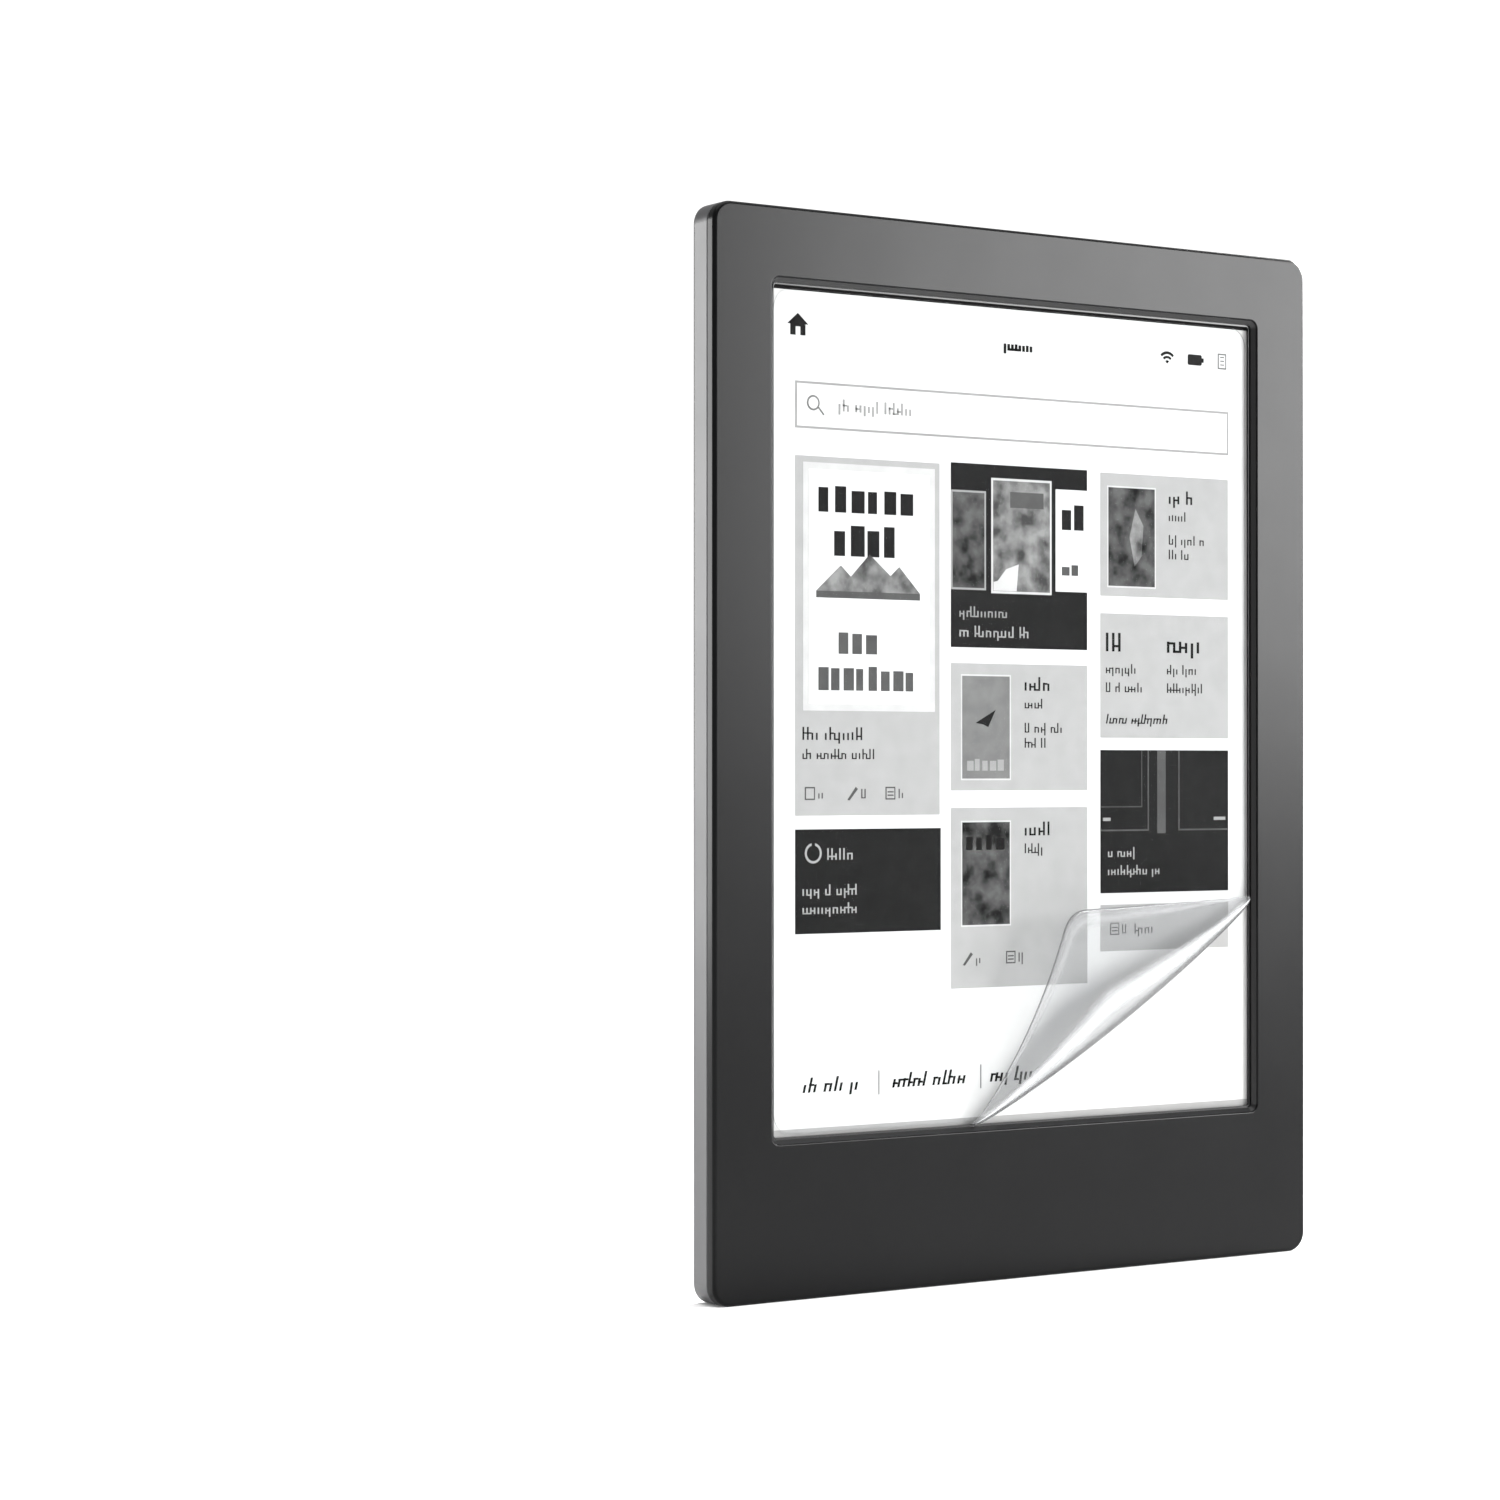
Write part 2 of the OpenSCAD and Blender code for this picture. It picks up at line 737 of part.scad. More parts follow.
module chassis_screws() {
    color([0.6, 0.6, 0.62]) stand() for (p = POSTS) screw(p, chassis_rear, bezel_t + post_skin + tip_gap);
}

module main_board() {
    color([0.05, 0.3, 0.16]) stand() layer(board_d, board_rear) difference() {
        union() {
            panel_area(board_w, board_base, board_top);
            translate([tab_left, tab_base]) square([tab_right - tab_left, board_base - tab_base + over]);
        }
        panel_area(board_notch_w, tab_base - over, board_notch_top);
        for (p = STANDOFFS) translate(p) circle(d = screw_dia + 2 * hole_play, $fn = round_fn);
    }
}

module board_screws() {
    color([0.6, 0.6, 0.62]) stand() for (p = STANDOFFS) screw(p, board_rear, chassis_d + tip_gap);
}

module processor() {
    color([0.1, 0.1, 0.11]) stand() chip(processor_at, processor_size);
}

module memory_chip() {
    color([0.13, 0.13, 0.14]) stand() chip(memory_at, memory_size);
}

module shield_can() {
    inner_base = board_base + can_at[1] + can_sheet;
    color([0.72, 0.73, 0.74]) stand() difference() {
        chip(can_at, [can_size[0], can_size[1], can_t]);
        brick(can_at[0], inner_base, board_rear - over, can_size[0] - 2 * can_sheet,
            can_size[1] - 2 * can_sheet, can_t - can_sheet + over);
    }
}

module power_chip() {
    color([0.1, 0.1, 0.11]) stand() chip(power_chip_at, power_chip_size);
}

module power_coils() {
    color([0.3, 0.28, 0.27]) stand() for (at = coil_at) chip(at, coil_size);
}

module wifi_module() {
    color([0.7, 0.71, 0.72]) stand() chip(wifi_at, wifi_size);
}

module wifi_antenna() {
    color([0.9, 0.9, 0.92]) stand() chip(antenna_at, antenna_size);
}

module card_socket() {
    socket_w = card_w + 2 * socket_rim;
    color([0.76, 0.77, 0.78]) stand() difference() {
        brick(socket_x, socket_base, board_rear, socket_w, card_len, card_t + 3 * socket_sheet);
        brick(socket_x, card_base - 0.1, board_rear + socket_sheet,
            card_w + 2 * card_play, card_len, card_t + socket_sheet);
    }
}

module memory_card() {
    color([0.09, 0.09, 0.1]) stand()
        brick(socket_x, card_base, board_rear + socket_sheet, card_w, card_len, card_t);
}

module cover_sensor() {
    color([0.1, 0.1, 0.11]) stand() chip(sensor_at, sensor_size);
}

module crystal() {
    color([0.8, 0.8, 0.8]) stand() chip(crystal_at, crystal_size);
}

module board_passives() {
    color([0.72, 0.6, 0.42]) stand() for (row = [0 : small_part_rows - 1], i = [0 : small_part_columns - 1])
        chip(small_part_at + [i * small_part_pitch[0], row * small_part_pitch[1]], small_part_size);
}

module display_connector() {
    color([0.9, 0.88, 0.82]) stand() strip_connector(display_flex_x, flex_end_h, display_flex_w);
}

module touch_connector() {
    color([0.9, 0.88, 0.82]) stand() strip_connector(touch_flex_x, flex_end_h, touch_flex_w);
}

module light_connector() {
    color([0.9, 0.88, 0.82]) stand() strip_connector(light_flex_x, flex_end_h, light_flex_w);
}

module power_connector() {
    color([0.9, 0.88, 0.82]) stand()
        strip_connector(power_flex_x, power_flex_end - connector_len, power_flex_w);
}

module battery_socket() {
    color([0.95, 0.94, 0.9]) stand() brick(battery_x, battery_socket_base, board_rear,
        socket_size[0], connector_len, socket_size[1]);
}

module battery_plug() {
    color([0.95, 0.94, 0.9]) stand()
        brick(battery_x, battery_socket_base + connector_len, board_rear + plug_lift,
            plug_size[0], plug_len, plug_size[1]);
}

module battery_leads() {
    color([0.7, 0.1, 0.1]) stand() for (i = [-1 : 1])
        translate([battery_x + i * lead_pitch, lead_base, -board_rear - socket_size[1] / 2])
            rotate([-90, 0, 0]) cylinder(d = lead_dia, h = lead_len, $fn = round_fn);
}

module battery_board() {
    color([0.85, 0.65, 0.2]) stand()
        brick(0, battery_board_base, board_rear + battery_board_lift,
            cell_w - 2 * battery_board_in, battery_board_len, battery_board_t);
}

module battery_cell() {
    color([0.78, 0.79, 0.81]) stand() layer(cell_d, cell_rear)
        translate([0, cell_base + cell_h / 2]) rounded(cell_w, cell_h, cell_corner_r);
}

module battery_tape() {
    color([0.9, 0.9, 0.85]) stand() for (x = [-cell_w / 3, cell_w / 3])
        brick(x, cell_base + tape_in, chassis_rear, tape_w, cell_h - 2 * tape_in, tape_t);
}

module battery_foam() {
    color([0.15, 0.15, 0.16]) stand()
        brick(0, cell_base + foam_in, cell_rear, cell_w / 2, cell_h - 2 * foam_in, floor_d - cell_rear - air);
}

module port_shell() {
    leg_out = 1.3;
    leg_len = 1.5;
    leg_base = tab_base + 0.8;
    leg_t = 0.2;
    inner_w = port_w - 2 * port_sheet;
    inner_t = port_t - 2 * port_sheet;
    color([0.75, 0.76, 0.77]) stand() {
        difference() {
            upright_bar(0, port_d, port_w, port_t, port_shell_r, port_mouth, port_mouth + port_len);
            upright_bar(0, port_d, inner_w, inner_t, port_shell_r - port_sheet,
                port_mouth - over, port_mouth + port_len + over);
        }
        for (side = [-1, 1])
            brick(side * (port_w / 2 + leg_out / 2 - air), leg_base, board_rear, leg_out, leg_len, leg_t);
    }
}

module port_body() {
    play = 0.02;
    block_base = port_mouth + port_len - port_block_len;
    inner_w = port_w - 2 * (port_sheet + play);
    inner_t = port_t - 2 * (port_sheet + play);
    color([0.06, 0.06, 0.07]) stand() {
        upright_bar(0, port_d, inner_w, inner_t, port_shell_r - port_sheet - play,
            block_base, port_mouth + port_len);
        brick(0, block_base - tongue_len, port_d - tongue_t / 2, tongue_w, tongue_len + air, tongue_t);
    }
}

module port_contacts() {
    contact_w = 0.35;
    contact_base = port_mouth + port_len - port_block_len - tongue_len + 0.4;
    contact_len = tongue_len - 0.5;
    color([0.85, 0.7, 0.3]) stand() for (i = [0 : contact_count - 1])
        brick((i - (contact_count - 1) / 2) * contact_pitch, contact_base, port_d + tongue_t / 2,
            contact_w, contact_len, contact_t);
}

module power_button() {
    color([0.16, 0.16, 0.17]) stand() {
        upright_bar(button_x, button_d, button_w, button_t, button_r,
            flange_top - air, body_h + button_proud);
        brick(button_x, flange_top - flange_t, button_d - button_t / 2 - flange_edge,
            button_w + 2 * flange_side, flange_t, button_t + 2 * flange_edge);
        brick(button_x, switch_top + plunger_out + air, button_d - plunger_t / 2,
            plunger_w, flange_top - flange_t - switch_top - plunger_out, plunger_t);
    }
}

module power_switch() {
    pocket_deep = plunger_in + button_travel + 2 * button_fit;
    switch_front = chassis_rear + power_board_t;
    switch_t = 2 * (button_d - switch_front);
    color([0.2, 0.2, 0.22]) stand() difference() {
        brick(button_x, switch_top - switch_len, switch_front, switch_w, switch_len, switch_t);
        brick(button_x, switch_top - pocket_deep, button_d - plunger_t / 2 - button_fit,
            plunger_w + 2 * button_fit, pocket_deep + over, plunger_t + 2 * button_fit);
    }
}

module power_plunger() {
    color([0.85, 0.85, 0.82]) stand()
        brick(button_x, switch_top - plunger_in, button_d - plunger_t / 2,
            plunger_w, plunger_in + plunger_out, plunger_t);
}

module power_board() {
    middle = (power_board_left + power_board_right) / 2;
    color([0.1, 0.35, 0.2]) stand() brick(middle, power_board_base, chassis_rear,
        power_board_right - power_board_left, switch_top - power_board_base, power_board_t);
}

module power_flex() {
    flex_d = chassis_rear + flex_t / 2;
    over_edge = board_top + power_flex_gap;
    route = [[power_board_base, flex_d], [over_edge, flex_d],
        [over_edge, flex_rear_d], [power_flex_end, flex_rear_d]];
    color([0.78, 0.5, 0.18]) stand() strip(route, power_flex_x, power_flex_w, flex_t, flex_bend / 2);
}

module status_lamp() {
    color([0.95, 0.95, 0.9]) stand() brick(lamp_x, switch_top - 1.2, chassis_rear + power_board_t,
        status_lamp_size[0], status_lamp_size[1], status_lamp_size[2]);
}

module light_pipe() {
    collar_dia = lamp_dia + 2 * pipe_collar;
    pipe_base = switch_top - pipe_drop;
    color([0.9, 0.95, 0.98]) stand() translate([lamp_x, 0, -button_d]) rotate([-90, 0, 0]) {
        translate([0, 0, pipe_base]) cylinder(d = lamp_dia, h = body_h - pipe_base, $fn = round_fn);
        translate([0, 0, top_inner - flange_t]) cylinder(d = collar_dia, h = flange_t, $fn = round_fn);
    }
}

module reset_switch() {
    pocket_deep = plunger_in + reset_travel + 2 * button_fit;
    color([0.2, 0.2, 0.22]) stand() difference() {
        brick(reset_x, reset_body_base, board_rear, reset_body_w, reset_body_len, reset_body_t);
        brick(reset_x, reset_body_base - over, reset_d - reset_plunger_t / 2 - button_fit,
            reset_plunger_w + 2 * button_fit, pocket_deep + over, reset_plunger_t + 2 * button_fit);
    }
}

module reset_plunger() {
    color([0.85, 0.85, 0.82]) stand()
        brick(reset_x, reset_body_base - reset_plunger_out, reset_d - reset_plunger_t / 2,
            reset_plunger_w, reset_plunger_out + plunger_in, reset_plunger_t);
}

front_bezel();
rear_cover();
screen_film();
screen_gasket();
touch_sensor();
light_guide();
epaper_panel();
display_drivers();
display_flex();
touch_flex();
light_strip();
light_lamps();
chassis();
chassis_screws();
main_board();
board_screws();
processor();
memory_chip();
shield_can();
power_chip();
power_coils();
wifi_module();
wifi_antenna();
card_socket();
memory_card();
cover_sensor();
crystal();
board_passives();
display_connector();
touch_connector();
light_connector();
power_connector();
battery_socket();
battery_plug();
battery_leads();
battery_board();
battery_cell();
battery_tape();
battery_foam();
port_shell();
port_body();
port_contacts();
power_button();
power_switch();
power_plunger();
power_board();
power_flex();
status_lamp();
light_pipe();
reset_switch();
reset_plunger();
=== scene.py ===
"""A six inch e-reader on its bottom edge: bezel, faceted cover, lit page, peeled film and inner parts."""

import logging
import math
from dataclasses import dataclass, field
from enum import Enum

import bmesh
import bpy
import numpy as np
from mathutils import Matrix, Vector


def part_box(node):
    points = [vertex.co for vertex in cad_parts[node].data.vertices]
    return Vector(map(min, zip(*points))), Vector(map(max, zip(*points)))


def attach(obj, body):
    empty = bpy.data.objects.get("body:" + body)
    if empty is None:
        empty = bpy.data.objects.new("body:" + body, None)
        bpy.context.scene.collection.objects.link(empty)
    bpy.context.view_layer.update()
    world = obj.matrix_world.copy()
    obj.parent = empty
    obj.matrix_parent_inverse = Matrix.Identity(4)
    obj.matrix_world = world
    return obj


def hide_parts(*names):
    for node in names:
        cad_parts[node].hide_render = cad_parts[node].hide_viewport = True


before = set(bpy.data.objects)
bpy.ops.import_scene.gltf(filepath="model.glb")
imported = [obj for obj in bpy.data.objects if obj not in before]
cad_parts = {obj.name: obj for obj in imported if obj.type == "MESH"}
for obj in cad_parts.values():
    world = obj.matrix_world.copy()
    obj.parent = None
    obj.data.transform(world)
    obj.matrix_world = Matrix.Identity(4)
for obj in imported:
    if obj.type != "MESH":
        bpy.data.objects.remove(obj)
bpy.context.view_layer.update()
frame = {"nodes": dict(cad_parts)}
LOG = logging.getLogger("e_reader")
MM = 0.001
Pair = tuple[float, float]
Triple = tuple[float, float, float]
Box = tuple[float, float, float, float]


class Value:
    """A number that varies over a surface, so that sums on it are written as sums."""

    def __init__(self, recipe: "Recipe", socket: bpy.types.NodeSocket) -> None:
        """Keeps the recipe that the socket belongs to.

        Args:
            recipe: The material under construction.
            socket: The output socket that carries the number.
        """
        self.recipe = recipe
        self.socket = socket

    def _math(self, operation: str, first: object, second: object) -> "Value":
        """Adds one Math node and returns its result."""
        return self.recipe.value("ShaderNodeMath", {"operation": operation}, {0: first, 1: second})

    def __add__(self, other: object) -> "Value":
        """Adds another value or a number."""
        return self._math("ADD", self, other)

    __radd__ = __add__

    def __mul__(self, other: object) -> "Value":
        """Multiplies by another value or a number."""
        return self._math("MULTIPLY", self, other)

    __rmul__ = __mul__

    def __sub__(self, other: object) -> "Value":
        """Takes another value or a number away."""
        return self._math("SUBTRACT", self, other)

    def __rsub__(self, other: object) -> "Value":
        """Takes this value away from a number."""
        return self._math("SUBTRACT", other, self)

    def __pow__(self, other: object) -> "Value":
        """Raises to a power."""
        return self._math("POWER", self, other)

    def above(self, edge: float) -> "Value":
        """One where the value is over an edge, and nought elsewhere."""
        return self._math("GREATER_THAN", self, edge)

    def clamped(self) -> "Value":
        """Held between nought and one."""
        return self.recipe.value("ShaderNodeClamp", {}, {"Value": self}, "Result")


class Recipe:
    """A material under construction, with one method that makes any node."""

    def __init__(self, name: str) -> None:
        """Starts an empty material.

        Args:
            name: The material's name.
        """
        self.material = bpy.data.materials.new(name)
        self.material.use_nodes = True
        self.tree = self.material.node_tree
        self.tree.nodes.clear()

    def node(self, kind: str, settings: dict, inputs: dict) -> bpy.types.Node:
        """Makes a node: its settings first, then its sockets.

        Args:
            kind: The node's type.
            settings: Properties such as a Math node's operation.
            inputs: Socket name or number, to a Value, a socket or a constant.

        Returns:
            The new node.
        """
        made = self.tree.nodes.new(kind)
        for key, value in settings.items():
            setattr(made, key, value)
        for key, value in inputs.items():
            socket = self._socket(made.inputs, key)
            if isinstance(value, Value):
                self.tree.links.new(value.socket, socket)
            elif isinstance(value, bpy.types.NodeSocket):
                self.tree.links.new(value, socket)
            else:
                socket.default_value = value
        return made

    @staticmethod
    def _socket(sockets: bpy.types.bpy_prop_collection, key: object) -> bpy.types.NodeSocket:
        """Finds a socket by number, or by identifier, or by name.

        Args:
            sockets: A node's inputs or outputs.
            key: The number, identifier or name.

        Returns:
            The socket.
        """
        if isinstance(key, int):
            return sockets[key]
        for socket in sockets:
            if socket.identifier == key:
                return socket
        return sockets[key]

    def value(self, kind: str, settings: dict, inputs: dict, output: object = 0) -> Value:
        """Makes a node and returns one of its outputs as a Value."""
        return Value(self, self._socket(self.node(kind, settings, inputs).outputs, output))

    def place(self, stretch: Triple = (1.0, 1.0, 1.0)) -> bpy.types.NodeSocket:
        """The point on the piece, in metres, stretched along its axes."""
        point = self.node("ShaderNodeTexCoord", {}, {}).outputs["Object"]
        return self.node("ShaderNodeMapping", {}, {"Vector": point, "Scale": stretch}).outputs["Vector"]

    def noise(self, size: float, detail: float = 2.0, stretch: Triple = (1.0, 1.0, 1.0)) -> Value:
        """Soft noise whose spots are about size metres across."""
        inputs = {"Vector": self.place(stretch), "Scale": 1.0 / size, "Detail": detail}
        return self.value("ShaderNodeTexNoise", {}, inputs, "Fac")

    def mix(self, factor: Value, first: object, second: object) -> Value:
        """A colour that runs from first to second with the factor."""
        inputs = {"Factor_Float": factor, "A_Color": first, "B_Color": second}
        return self.value("ShaderNodeMix", {"data_type": "RGBA"}, inputs, "Result_Color")

    def bump(self, height: Value, distance: float) -> Value:
        """A normal tilted by a height field whose relief is distance metres deep."""
        inputs = {"Height": height, "Distance": distance}
        return self.value("ShaderNodeBump", {}, inputs, "Normal")

    def finish(self, shader: bpy.types.NodeSocket) -> bpy.types.Material:
        """Joins the last shader to the output and returns the material."""
        self.node("ShaderNodeOutputMaterial", {}, {"Surface": shader})
        return self.material

    def principled(self, **inputs: object) -> bpy.types.NodeSocket:
        """A Principled shader.

        Args:
            **inputs: Socket names written with underscores, and Specular for Specular IOR Level.

        Returns:
            The shader's socket.
        """
        named = {key.replace("_", " "): value for key, value in inputs.items()}
        if "Specular" in named:
            named["Specular IOR Level"] = named.pop("Specular")
        return self.node("ShaderNodeBsdfPrincipled", {}, named).outputs["BSDF"]


def shade(colour: Triple, factor: float) -> Box:
    """The colour made lighter or darker by a factor, with full alpha."""
    return (*[min(1.0, part * factor) for part in colour], 1.0)


@dataclass(frozen=True)
class Plastic:
    """Moulded plastic with a fine spark-eroded grain, faint clouding and handling sheen."""

    name: str
    colour: Triple
    roughness: float = 0.4
    specular: float = 0.3
    grain: float = 0.12 * MM
    relief: float = 0.0015 * MM

    def material(self) -> bpy.types.Material:
        """Builds the material.

        Returns:
            The finished material.
        """
        recipe = Recipe(self.name)
        cloud = recipe.noise(22 * MM, 3.0)
        grain = recipe.noise(self.grain, 2.0)
        sheen = recipe.noise(9 * MM, 4.0)
        colour = recipe.mix(cloud, shade(self.colour, 0.88), shade(self.colour, 1.12))
        rough = self.roughness - 0.04 + sheen * 0.06 + grain * 0.03
        return recipe.finish(recipe.principled(
            Base_Color=colour, Roughness=rough, Specular=self.specular,
            Normal=recipe.bump(grain, self.relief)))


@dataclass(frozen=True)
class ElectronicPaper:
    """Ink capsules under a matt clear sheet: a blotched tone with fine specks, lit faintly in front."""

    name: str
    tone: float
    mottle: float
    glow: float = 0.12

    def material(self) -> bpy.types.Material:
        """Builds the material: the blotches of a printed picture, broken up a little by single capsules.

        Returns:
            The finished material.
        """
        recipe = Recipe(self.name)
        grey = (self.tone, self.tone, self.tone * 0.99)
        dots = recipe.noise(0.09 * MM, 1.0)
        blotch = ((recipe.noise(3.0 * MM, 3.0) - 0.5) * 3.0 + 0.5).clamped()
        dark, light = shade(grey, 1 - self.mottle), shade(grey, 1 + self.mottle)
        tone = recipe.mix(dots * 0.12, recipe.mix(blotch, dark, light), shade(grey, 1.0))
        rough = 0.55 + dots * 0.1
        return recipe.finish(recipe.principled(
            Base_Color=tone, Roughness=rough, Specular=0.02, Emission_Color=tone, Emission_Strength=self.glow,
            Normal=recipe.bump(dots, 0.002 * MM)))


@dataclass(frozen=True)
class ClearFilm:
    """Thin clear plastic sheet: almost unseen where it lies flat, glossy where it curls, with painted
    highlight bands and painted shade bands across the curl.

    A band is its place on the roll, its half width and its strength.
    """

    name: str
    haze: float = 0.07
    rim: float = 0.5
    # painted highlight bands, then painted shade bands: stand-ins for the light and shade on the curl
    painted_highlight_bands: tuple[Triple, ...] = ((0.74, 0.1, 0.9), (1.24, 0.15, 1.1), (1.9, 0.07, 0.3))
    dark: tuple[Triple, ...] = ((0.98, 0.16, 1.2), (0.56, 0.12, 1.0), (2.0, 0.05, 0.9))

    @staticmethod
    def painted_bands(roll: Value, rows: tuple[Triple, ...]) -> Value:
        """Soft painted bands across the roll, added up: strength * (1 - |roll - middle| / half), held above
        nought.

        Args:
            roll: The place on the roll.
            rows: The bands.

        Returns:
            Their sum, held between nought and one.
        """
        total: Value | float = 0.0
        for middle, half, strength in rows:
            away = roll.recipe.value("ShaderNodeMath", {"operation": "ABSOLUTE"}, {0: roll - middle})
            total = (1.0 - away * (1.0 / half)).clamped() * strength + total
        return total.clamped()

    def material(self) -> bpy.types.Material:
        """Builds the material from the sheet's own roll, nought where it is flat and two at its free edge,
        with painted highlight and shade bands along it.

        Returns:
            The finished material.
        """
        recipe = Recipe(self.name)
        roll = recipe.value("ShaderNodeAttribute", {"attribute_name": "roll"}, {}, "Fac")
        lift = (roll * 6.0).clamped()
        facing = recipe.value("ShaderNodeLayerWeight", {}, {"Blend": 0.5}, "Facing")
        streak = recipe.noise(1.6 * MM, 3.0, (1.0, 1.0, 0.35))
        # painted highlight bands and painted shade bands, laid along the roll
        painted_highlight_bands, dark = self.painted_bands(roll, self.painted_highlight_bands), self.painted_bands(roll, self.dark)
        veil = lift * (self.haze + (facing ** 3.0) * self.rim) + lift * (streak - 0.5) * 0.04
        # how much of the sheet shows as gloss: haze and a grazing rim, plus the painted bands
        cover = (veil + painted_highlight_bands * 0.8 + dark * 0.6 + 0.002).clamped()
        clear = recipe.node("ShaderNodeBsdfTransparent", {}, {"Color": (0.985, 0.988, 0.99, 1.0)})
        # the gloss is painted pale grey on the highlight bands and near black on the shade bands
        painted_band_colour = recipe.mix(painted_highlight_bands, (0.2, 0.203, 0.207, 1.0), (0.46, 0.465, 0.47, 1.0))
        painted_band_colour = recipe.mix(dark * 0.9, painted_band_colour, (0.06, 0.06, 0.062, 1.0))
        gloss = recipe.principled(
            Base_Color=painted_band_colour, Roughness=0.1 + streak * 0.1, Specular=0.5,
            Normal=recipe.bump(streak, 0.02 * MM))
        mixed = recipe.node("ShaderNodeMixShader", {}, {0: cover, 1: clear.outputs["BSDF"], 2: gloss})
        return recipe.finish(mixed.outputs["Shader"])


@dataclass(frozen=True)
class FilmEdge:
    """The cut edge of the clear film, coloured dark grey as a painted shade line round the flap."""

    name: str

    def material(self) -> bpy.types.Material:
        """Builds the material.

        Returns:
            The finished material.
        """
        recipe = Recipe(self.name)
        grain = recipe.noise(0.5 * MM, 2.0)
        # painted shade: the clear edge is drawn as an opaque dark grey line
        tone = recipe.mix(grain, (0.09, 0.092, 0.095, 1.0), (0.15, 0.152, 0.155, 1.0))
        return recipe.finish(recipe.principled(Base_Color=tone, Roughness=0.25 + grain * 0.1, Specular=0.4))


class Metalwork(Enum):
    """How a metal surface was finished."""

    ROLLED = (1.0, 1.0, 0.08)
    BRUSHED = (1.0, 1.0, 0.02)
    FOIL = (1.0, 1.0, 1.0)


@dataclass(frozen=True)
class Metal:
    """Bare or plated sheet metal, with the drawn-out grain of its rolling."""

    name: str
    colour: Triple
    roughness: float = 0.32
    work: Metalwork = Metalwork.ROLLED

    def material(self) -> bpy.types.Material:
        """Builds the material: fine streaks along the rolling direction and faint tarnish.

        Returns:
            The finished material.
        """
        recipe = Recipe(self.name)
        streak = recipe.noise(0.3 * MM, 3.0, self.work.value)
        tarnish = recipe.noise(6 * MM, 3.0)
        colour = recipe.mix(tarnish, shade(self.colour, 0.85), shade(self.colour, 1.08))
        rough = self.roughness - 0.08 + streak * 0.16
        return recipe.finish(recipe.principled(
            Base_Color=colour, Metallic=1.0, Roughness=rough, Normal=recipe.bump(streak, 0.004 * MM)))


@dataclass(frozen=True)
class CircuitBoard:
    """Solder mask over copper: paler lines where the tracks run, and glass weave beneath."""

    name: str
    colour: Triple

    def material(self) -> bpy.types.Material:
        """Builds the material: tracks are the thin bands of a wavy stripe pattern.

        Returns:
            The finished material.
        """
        recipe = Recipe(self.name)
        wave = recipe.value("ShaderNodeTexWave", {"bands_direction": "DIAGONAL"}, {
            "Vector": recipe.place(), "Scale": 260.0, "Distortion": 2.0, "Detail": 1.0,
            "Detail Scale": 0.6}, "Fac")
        track = wave.above(0.78)
        weave = recipe.noise(0.35 * MM, 2.0)
        mask = recipe.mix(weave, shade(self.colour, 0.85), shade(self.colour, 1.1))
        colour = recipe.mix(track * 0.6, mask, shade(self.colour, 1.9))
        return recipe.finish(recipe.principled(
            Base_Color=colour, Roughness=0.28 + weave * 0.12, Coat_Weight=0.25,
            Normal=recipe.bump(track * 0.7 + weave * 0.3, 0.02 * MM)))


@dataclass(frozen=True)
class Ribbon:
    """Flexible circuit: an amber or white film with copper lines under it."""

    name: str
    colour: Triple
    line: float = 1.35

    def material(self) -> bpy.types.Material:
        """Builds the material: straight bands along the strip.

        Returns:
            The finished material.
        """
        recipe = Recipe(self.name)
        wave = recipe.value("ShaderNodeTexWave", {"bands_direction": "X"}, {
            "Vector": recipe.place(), "Scale": 320.0, "Distortion": 0.0}, "Fac")
        cloud = recipe.noise(1.2 * MM, 2.0)
        film = recipe.mix(cloud, shade(self.colour, 0.9), shade(self.colour, 1.08))
        colour = recipe.mix(wave.above(0.5) * 0.7, film, shade(self.colour, self.line))
        return recipe.finish(recipe.principled(
            Base_Color=colour, Roughness=0.3 + cloud * 0.1, Normal=recipe.bump(wave, 0.01 * MM)))


@dataclass(frozen=True)
class Foam:
    """Open-cell foam or soft rubber, with small pores."""

    name: str
    colour: Triple

    def material(self) -> bpy.types.Material:
        """Builds the material: the pores are the dark cells of a Voronoi pattern.

        Returns:
            The finished material.
        """
        recipe = Recipe(self.name)
        cells = {"Vector": recipe.place(), "Scale": 1 / (0.4 * MM)}
        pores = recipe.value("ShaderNodeTexVoronoi", {}, cells, "Distance")
        colour = recipe.mix(pores, shade(self.colour, 0.6), shade(self.colour, 1.3))
        return recipe.finish(recipe.principled(
            Base_Color=colour, Roughness=0.85 + pores * 0.1, Specular=0.2,
            Normal=recipe.bump(pores, 0.06 * MM)))


@dataclass(frozen=True)
class ClearBlock:
    """Clear moulded acrylic, a little frosted where it was cut."""

    name: str
    colour: Triple

    def material(self) -> bpy.types.Material:
        """Builds the material.

        Returns:
            The finished material.
        """
        recipe = Recipe(self.name)
        frost = recipe.noise(0.25 * MM, 3.0)
        colour = recipe.mix(frost, shade(self.colour, 0.92), shade(self.colour, 1.03))
        return recipe.finish(recipe.principled(
            Base_Color=colour, Roughness=0.18 + frost * 0.2, Alpha=0.72 + frost * 0.16,
            Normal=recipe.bump(frost, 0.01 * MM)))


@dataclass(frozen=True)
class StudioFloor:
    """Matt pale floor card."""

    name: str

    def material(self) -> bpy.types.Material:
        """Builds the material.

        Returns:
            The finished material.
        """
        recipe = Recipe(self.name)
        fibre = recipe.noise(1.5 * MM, 3.0)
        colour = recipe.mix(fibre, (0.93, 0.93, 0.93, 1.0), (0.97, 0.97, 0.97, 1.0))
        return recipe.finish(recipe.principled(
            Base_Color=colour, Roughness=0.9, Specular=0.1, Normal=recipe.bump(fibre, 0.01 * MM)))


